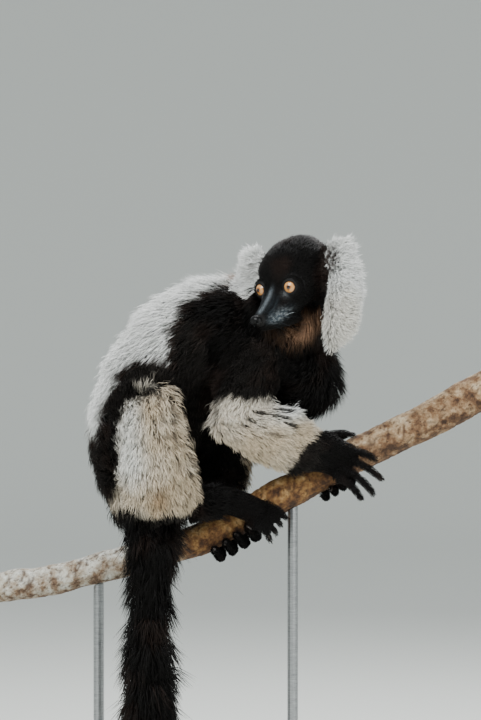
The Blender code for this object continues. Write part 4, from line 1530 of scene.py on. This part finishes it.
# %% A nail for every digit
CLAW_DIGITS = ("toe_left_2", "toe_right_2")
CLAW_SIZE = (1.5, 0.7, 1.6, 1)
ROOT_BACK, ROOT_UP = 2.6, 1.9
nails = []
for name in [n for n in flesh if kind_of(n) in ("finger", "toe")]:
    tip, way, back = digit_end(name)
    nail = nail_shape("nail_of_" + name)
    size = Matrix.Diagonal(CLAW_SIZE) if name in CLAW_DIGITS else Matrix.Identity(4)
    turned = Matrix((way, np.cross(back, way), back)).transposed().to_4x4()
    root = at(*(tip - way * ROOT_BACK + back * ROOT_UP))
    nail.data.transform(Matrix.Translation(root) @ turned @ size)
    nails.append(nail)
print("nails:", len(nails))
pick(*nails)
bpy.ops.object.join()
nails = bpy.context.object
nails.name = "nails"

# Horn is layered, half clear and polished by use, so its layers show dark and light and it has a soft shine.
HORN_LAYERS = 1.5
horn, horn_shader = new_material("dark horn of the nails")
place = add(horn, "ShaderNodeTexCoord")
layers = add(horn, "ShaderNodeTexNoise", Vector=place.outputs["Object"], Scale=1 / (HORN_LAYERS * MM),
             Detail=2.0)
tone = add(horn, "ShaderNodeValToRGB", ((0.3, "#1C1816"), (0.75, "#4A413A")), Fac=layers.outputs["Fac"])
set_up(horn, horn_shader, Base_Color=tone.outputs["Color"], Roughness=0.35)
nails.data.materials.clear()
nails.data.materials.append(horn)
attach(nails, "root")
print("all nails together:", len(nails.data.polygons), "faces")

# %% [markdown]
# ## The branch
#
# The perch's solid has flat sides, so a copy of it is wrapped afresh, smoothed round and roughened:
# broad lumps and a few knots first, then the fine cracks and grit of bark. Its ends stay flat, because
# they were sawn. The bark is mottled, with painted light that makes it paler on top and painted shade
# that makes it darker underneath. At the branch's lower end it is pale grey, and from the middle on it
# is golden brown, where the grey outer layer has flaked off.

# %% Bark in the round
BRANCH_VOXEL, BRANCH_ROUNDS = 2.4 * MM, 14
PLATE, LUMP, CRACK, GRIT = 15, 30, 11, 3.2
# Each knot's X and Y, how far it stands out, and its width, in millimetres.
KNOTS = ((-215, 0, 5, 12), (-120, -14, 5, 9), (40, -12, 3, 9), (196, 6, 4, 12), (262, -12, 5, 13))
KNOT_HEIGHT = 16

branch = copied(["perch"], "branch")
finish_modifier(branch, "REMESH", mode="VOXEL", voxel_size=BRANCH_VOXEL)
finish_modifier(branch, "SMOOTH", factor=0.5, iterations=BRANCH_ROUNDS)
bark_place = seat_place(points_of(branch.data))
outward = points_of(branch.data, "normal")
ways = unit(np.diff(BRANCH_LINE, axis=0))
from_end = np.minimum((bark_place[:, [0, 2]] - BRANCH_LINE[0]) @ ways[0],
                      -(bark_place[:, [0, 2]] - BRANCH_LINE[-1]) @ ways[-1])
plates = ripple(bark_place * (0.7, 1, 1), PLATE, 15)
lumps = ripple(bark_place * (0.6, 1, 1), LUMP, 11) * 1.3 + plates * 0.7
cracks = bell(ripple(bark_place * (1.0, 0.8, 0.8), CRACK, 12) / 0.09) * -0.8
grit = ripple(bark_place, GRIT, 13) * 0.35
knots = np.zeros(len(bark_place))
for x, y, rise, size in KNOTS:
    middle_of_knot = np.array((x, y, np.interp(x, *BRANCH_LINE.T) + KNOT_HEIGHT))
    knots += rise * 0.5 * bell(np.linalg.norm(bark_place - middle_of_knot, axis=1) / size)
bark_place = bark_place + outward * ((lumps + cracks + grit + knots) * ramp(from_end, 1.5, 5))[:, None]
hand_over(branch.data.vertices, "co", (bark_place + SEAT) * MM)
branch.data.update()
bpy.ops.object.shade_smooth()
print("branch:", len(branch.data.polygons), "faces")

# %% What the bark's colour goes by
up_share = points_of(branch.data, "normal")[:, 2]
golden = ramp(bark_place[:, 0], -60, -20) * (1 - 0.3 * ramp(bark_place[:, 0], 120, 160))
# Painted light and shade: bark is paler where it faces up and darker where it faces down. Its own colour adds
# paleness at the lower, grey end and takes some away where it is golden.
pale_end_and_top_light = 0.42 + 0.20 * up_share + 0.10 * (1 - ramp(bark_place[:, 0], -100, 0)) - 0.10 * golden
BARK_VALUES = {"paleness_and_top_light": pale_end_and_top_light, "golden": golden, "cracks": -cracks, "sawn": 1 - ramp(from_end, 0.8, 2.2)}
for title, values in BARK_VALUES.items():
    hand_over(branch.data.attributes.new(title, "FLOAT", "POINT").data, "value", values)
    print(title, "from", round(float(values.min()), 2), "to", round(float(values.max()), 2))

# %% Bark's colour
# Bark is dead cork that flakes in patches. Its top is painted paler and its underside darker, as light
# and shade. It is dry and rough, so it stays matt.
BARK_PATCH, BARK_FLECK, END_GRAIN = 13, 4, 4
bark, bark_shader = new_material("mottled bark")
place = add(bark, "ShaderNodeTexCoord")
paleness_and_top_light, golden, cracks, sawn = (add(bark, "ShaderNodeAttribute", attribute_name=n) for n in BARK_VALUES)
patches = add(bark, "ShaderNodeTexNoise", Vector=place.outputs["Object"], Scale=1 / (BARK_PATCH * MM),
              Detail=5.0, Roughness=0.65)
flecks = add(bark, "ShaderNodeTexNoise", Vector=place.outputs["Object"], Scale=1 / (BARK_FLECK * MM),
             Detail=6.0, Roughness=0.75)
shifted = add(bark, "ShaderNodeMapRange", Value=patches.outputs["Fac"], From_Min=0.34, From_Max=0.66,
              To_Min=-0.38, To_Max=0.38)
height = add(bark, "ShaderNodeMath", operation="ADD", _0=paleness_and_top_light.outputs["Fac"], _1=shifted.outputs["Result"])
pale_stops = ((0.0, "#4E3A2B"), (0.22, "#78614C"), (0.42, "#9C8F7D"), (0.66, "#B7B2A5"), (0.95, "#D0D1C9"))
warm_stops = ((0.0, "#3D2715"), (0.24, "#6B4827"), (0.45, "#8B673B"), (0.68, "#A8875A"), (0.95, "#C2AB82"))
pale_bark = add(bark, "ShaderNodeValToRGB", pale_stops, Fac=height.outputs["Value"])
warm_bark = add(bark, "ShaderNodeValToRGB", warm_stops, Fac=height.outputs["Value"])
base = add(bark, "ShaderNodeMix", data_type="RGBA", _0=golden.outputs["Fac"], _6=pale_bark.outputs["Color"],
           _7=warm_bark.outputs["Color"])
fleck_tone = add(bark, "ShaderNodeValToRGB", ((0.34, "#5A4030"), (0.48, "#FFFFFF")),
                 Fac=flecks.outputs["Fac"])
flecked = add(bark, "ShaderNodeMix", data_type="RGBA", blend_type="MULTIPLY", _0=0.85,
              _6=base.outputs["Result"], _7=fleck_tone.outputs["Color"])
cracked = add(bark, "ShaderNodeMix", data_type="RGBA", _0=cracks.outputs["Fac"], _6=flecked.outputs["Result"],
              _7=colour("#3A2417"))
print("bark flecks are", BARK_FLECK, "mm across, patches", BARK_PATCH, "mm")

# %% The sawn ends, and the bark put on
# Freshly sawn wood is pale and striped by its fibres, which the saw cut across.
rings_place = add(bark, "ShaderNodeMapping", vector_type="POINT", Vector=place.outputs["Object"],
                  Scale=(0.2, 1, 1))
end_grain = add(bark, "ShaderNodeTexNoise", Vector=rings_place.outputs["Vector"], Scale=1 / (END_GRAIN * MM),
                Detail=3.0)
end_tone = add(bark, "ShaderNodeValToRGB", ((0.35, "#A87C4E"), (0.65, "#D8B98A")),
               Fac=end_grain.outputs["Fac"])
whole = add(bark, "ShaderNodeMix", data_type="RGBA", _0=sawn.outputs["Fac"], _6=cracked.outputs["Result"],
            _7=end_tone.outputs["Color"])
rough = add(bark, "ShaderNodeBump", Height=flecks.outputs["Fac"], Strength=0.8, Distance=1.0 * MM)
set_up(bark, bark_shader, Base_Color=whole.outputs["Result"], Normal=rough.outputs["Normal"], Roughness=0.9)
branch.data.materials.append(bark)
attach(branch, "root")
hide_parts("perch")
print("end grain is", END_GRAIN, "mm wide")

# %% [markdown]
# ## The stand
#
# Base, rods and collars keep their solids, because those already have the right shape. They only need
# finishes: a stained and waxed board whose grain runs along its length, and ground steel whose fine
# lines run round the rods.

# %% Dark waxed wood
# Beech is planed, stained and rubbed with wax: the wax fills its pores and gives a soft, deep sheen.
YEARS, PORE = 9, 1.2
board, board_shader = new_material("stained and waxed beech")
place = add(board, "ShaderNodeTexCoord")
stretched = add(board, "ShaderNodeMapping", vector_type="POINT", Vector=place.outputs["Object"],
                Scale=(0.06, 1, 1))
years = add(board, "ShaderNodeTexNoise", Vector=stretched.outputs["Vector"], Scale=1 / (YEARS * MM),
            Detail=4.0, Distortion=0.6)
pores = add(board, "ShaderNodeTexNoise", Vector=stretched.outputs["Vector"], Scale=1 / (PORE * MM),
            Detail=3.0)
tone = add(board, "ShaderNodeValToRGB", ((0.3, "#2A1A12"), (0.55, "#40281B"), (0.75, "#523627")),
           Fac=years.outputs["Fac"])
pore_tone = add(board, "ShaderNodeValToRGB", ((0.35, "#6E6E6E"), (0.5, "#FFFFFF")), Fac=pores.outputs["Fac"])
grain = add(board, "ShaderNodeMix", data_type="RGBA", blend_type="MULTIPLY", _0=0.8,
            _6=tone.outputs["Color"], _7=pore_tone.outputs["Color"])
relief = add(board, "ShaderNodeBump", Height=pores.outputs["Fac"], Strength=0.25, Distance=0.2 * MM)
set_up(board, board_shader, Base_Color=grain.outputs["Result"], Normal=relief.outputs["Normal"],
       Roughness=0.38, Coat_Weight=0.25, Coat_Roughness=0.25)
print("grain is", YEARS, "mm wide")

# %% Ground steel
# A rod is ground as it turns, so its fine lines run round it. They are drawn 0.5 mm apart, to show.
LINES, ACROSS_ROD, ALONG_ROD = 1.6, 0.2, 3
steel, steel_shader = new_material("ground stainless steel")
place = add(steel, "ShaderNodeTexCoord")
squashed = add(steel, "ShaderNodeMapping", vector_type="POINT", Vector=place.outputs["Object"],
               Scale=(ACROSS_ROD, ACROSS_ROD, ALONG_ROD))
lines = add(steel, "ShaderNodeTexNoise", Vector=squashed.outputs["Vector"], Scale=1 / (LINES * MM),
            Detail=2.0)
scratch = add(steel, "ShaderNodeMapRange", Value=lines.outputs["Fac"], To_Min=0.22, To_Max=0.42)
metal = add(steel, "ShaderNodeValToRGB", ((0.3, "#8E9092"), (0.7, "#B4B6B7")), Fac=lines.outputs["Fac"])
set_up(steel, steel_shader, Base_Color=metal.outputs["Color"], Roughness=scratch.outputs["Result"],
       Metallic=1.0)
print("ground lines are", round(LINES / ALONG_ROD, 1), "mm apart")

# %% The finishes put on the stand
stand = [name for name in nodes if name.startswith("stand")]
for name in stand:
    nodes[name].data.materials.clear()
    nodes[name].data.materials.append(board if name == "stand_base" else steel)
print("stand:", ", ".join(stand))
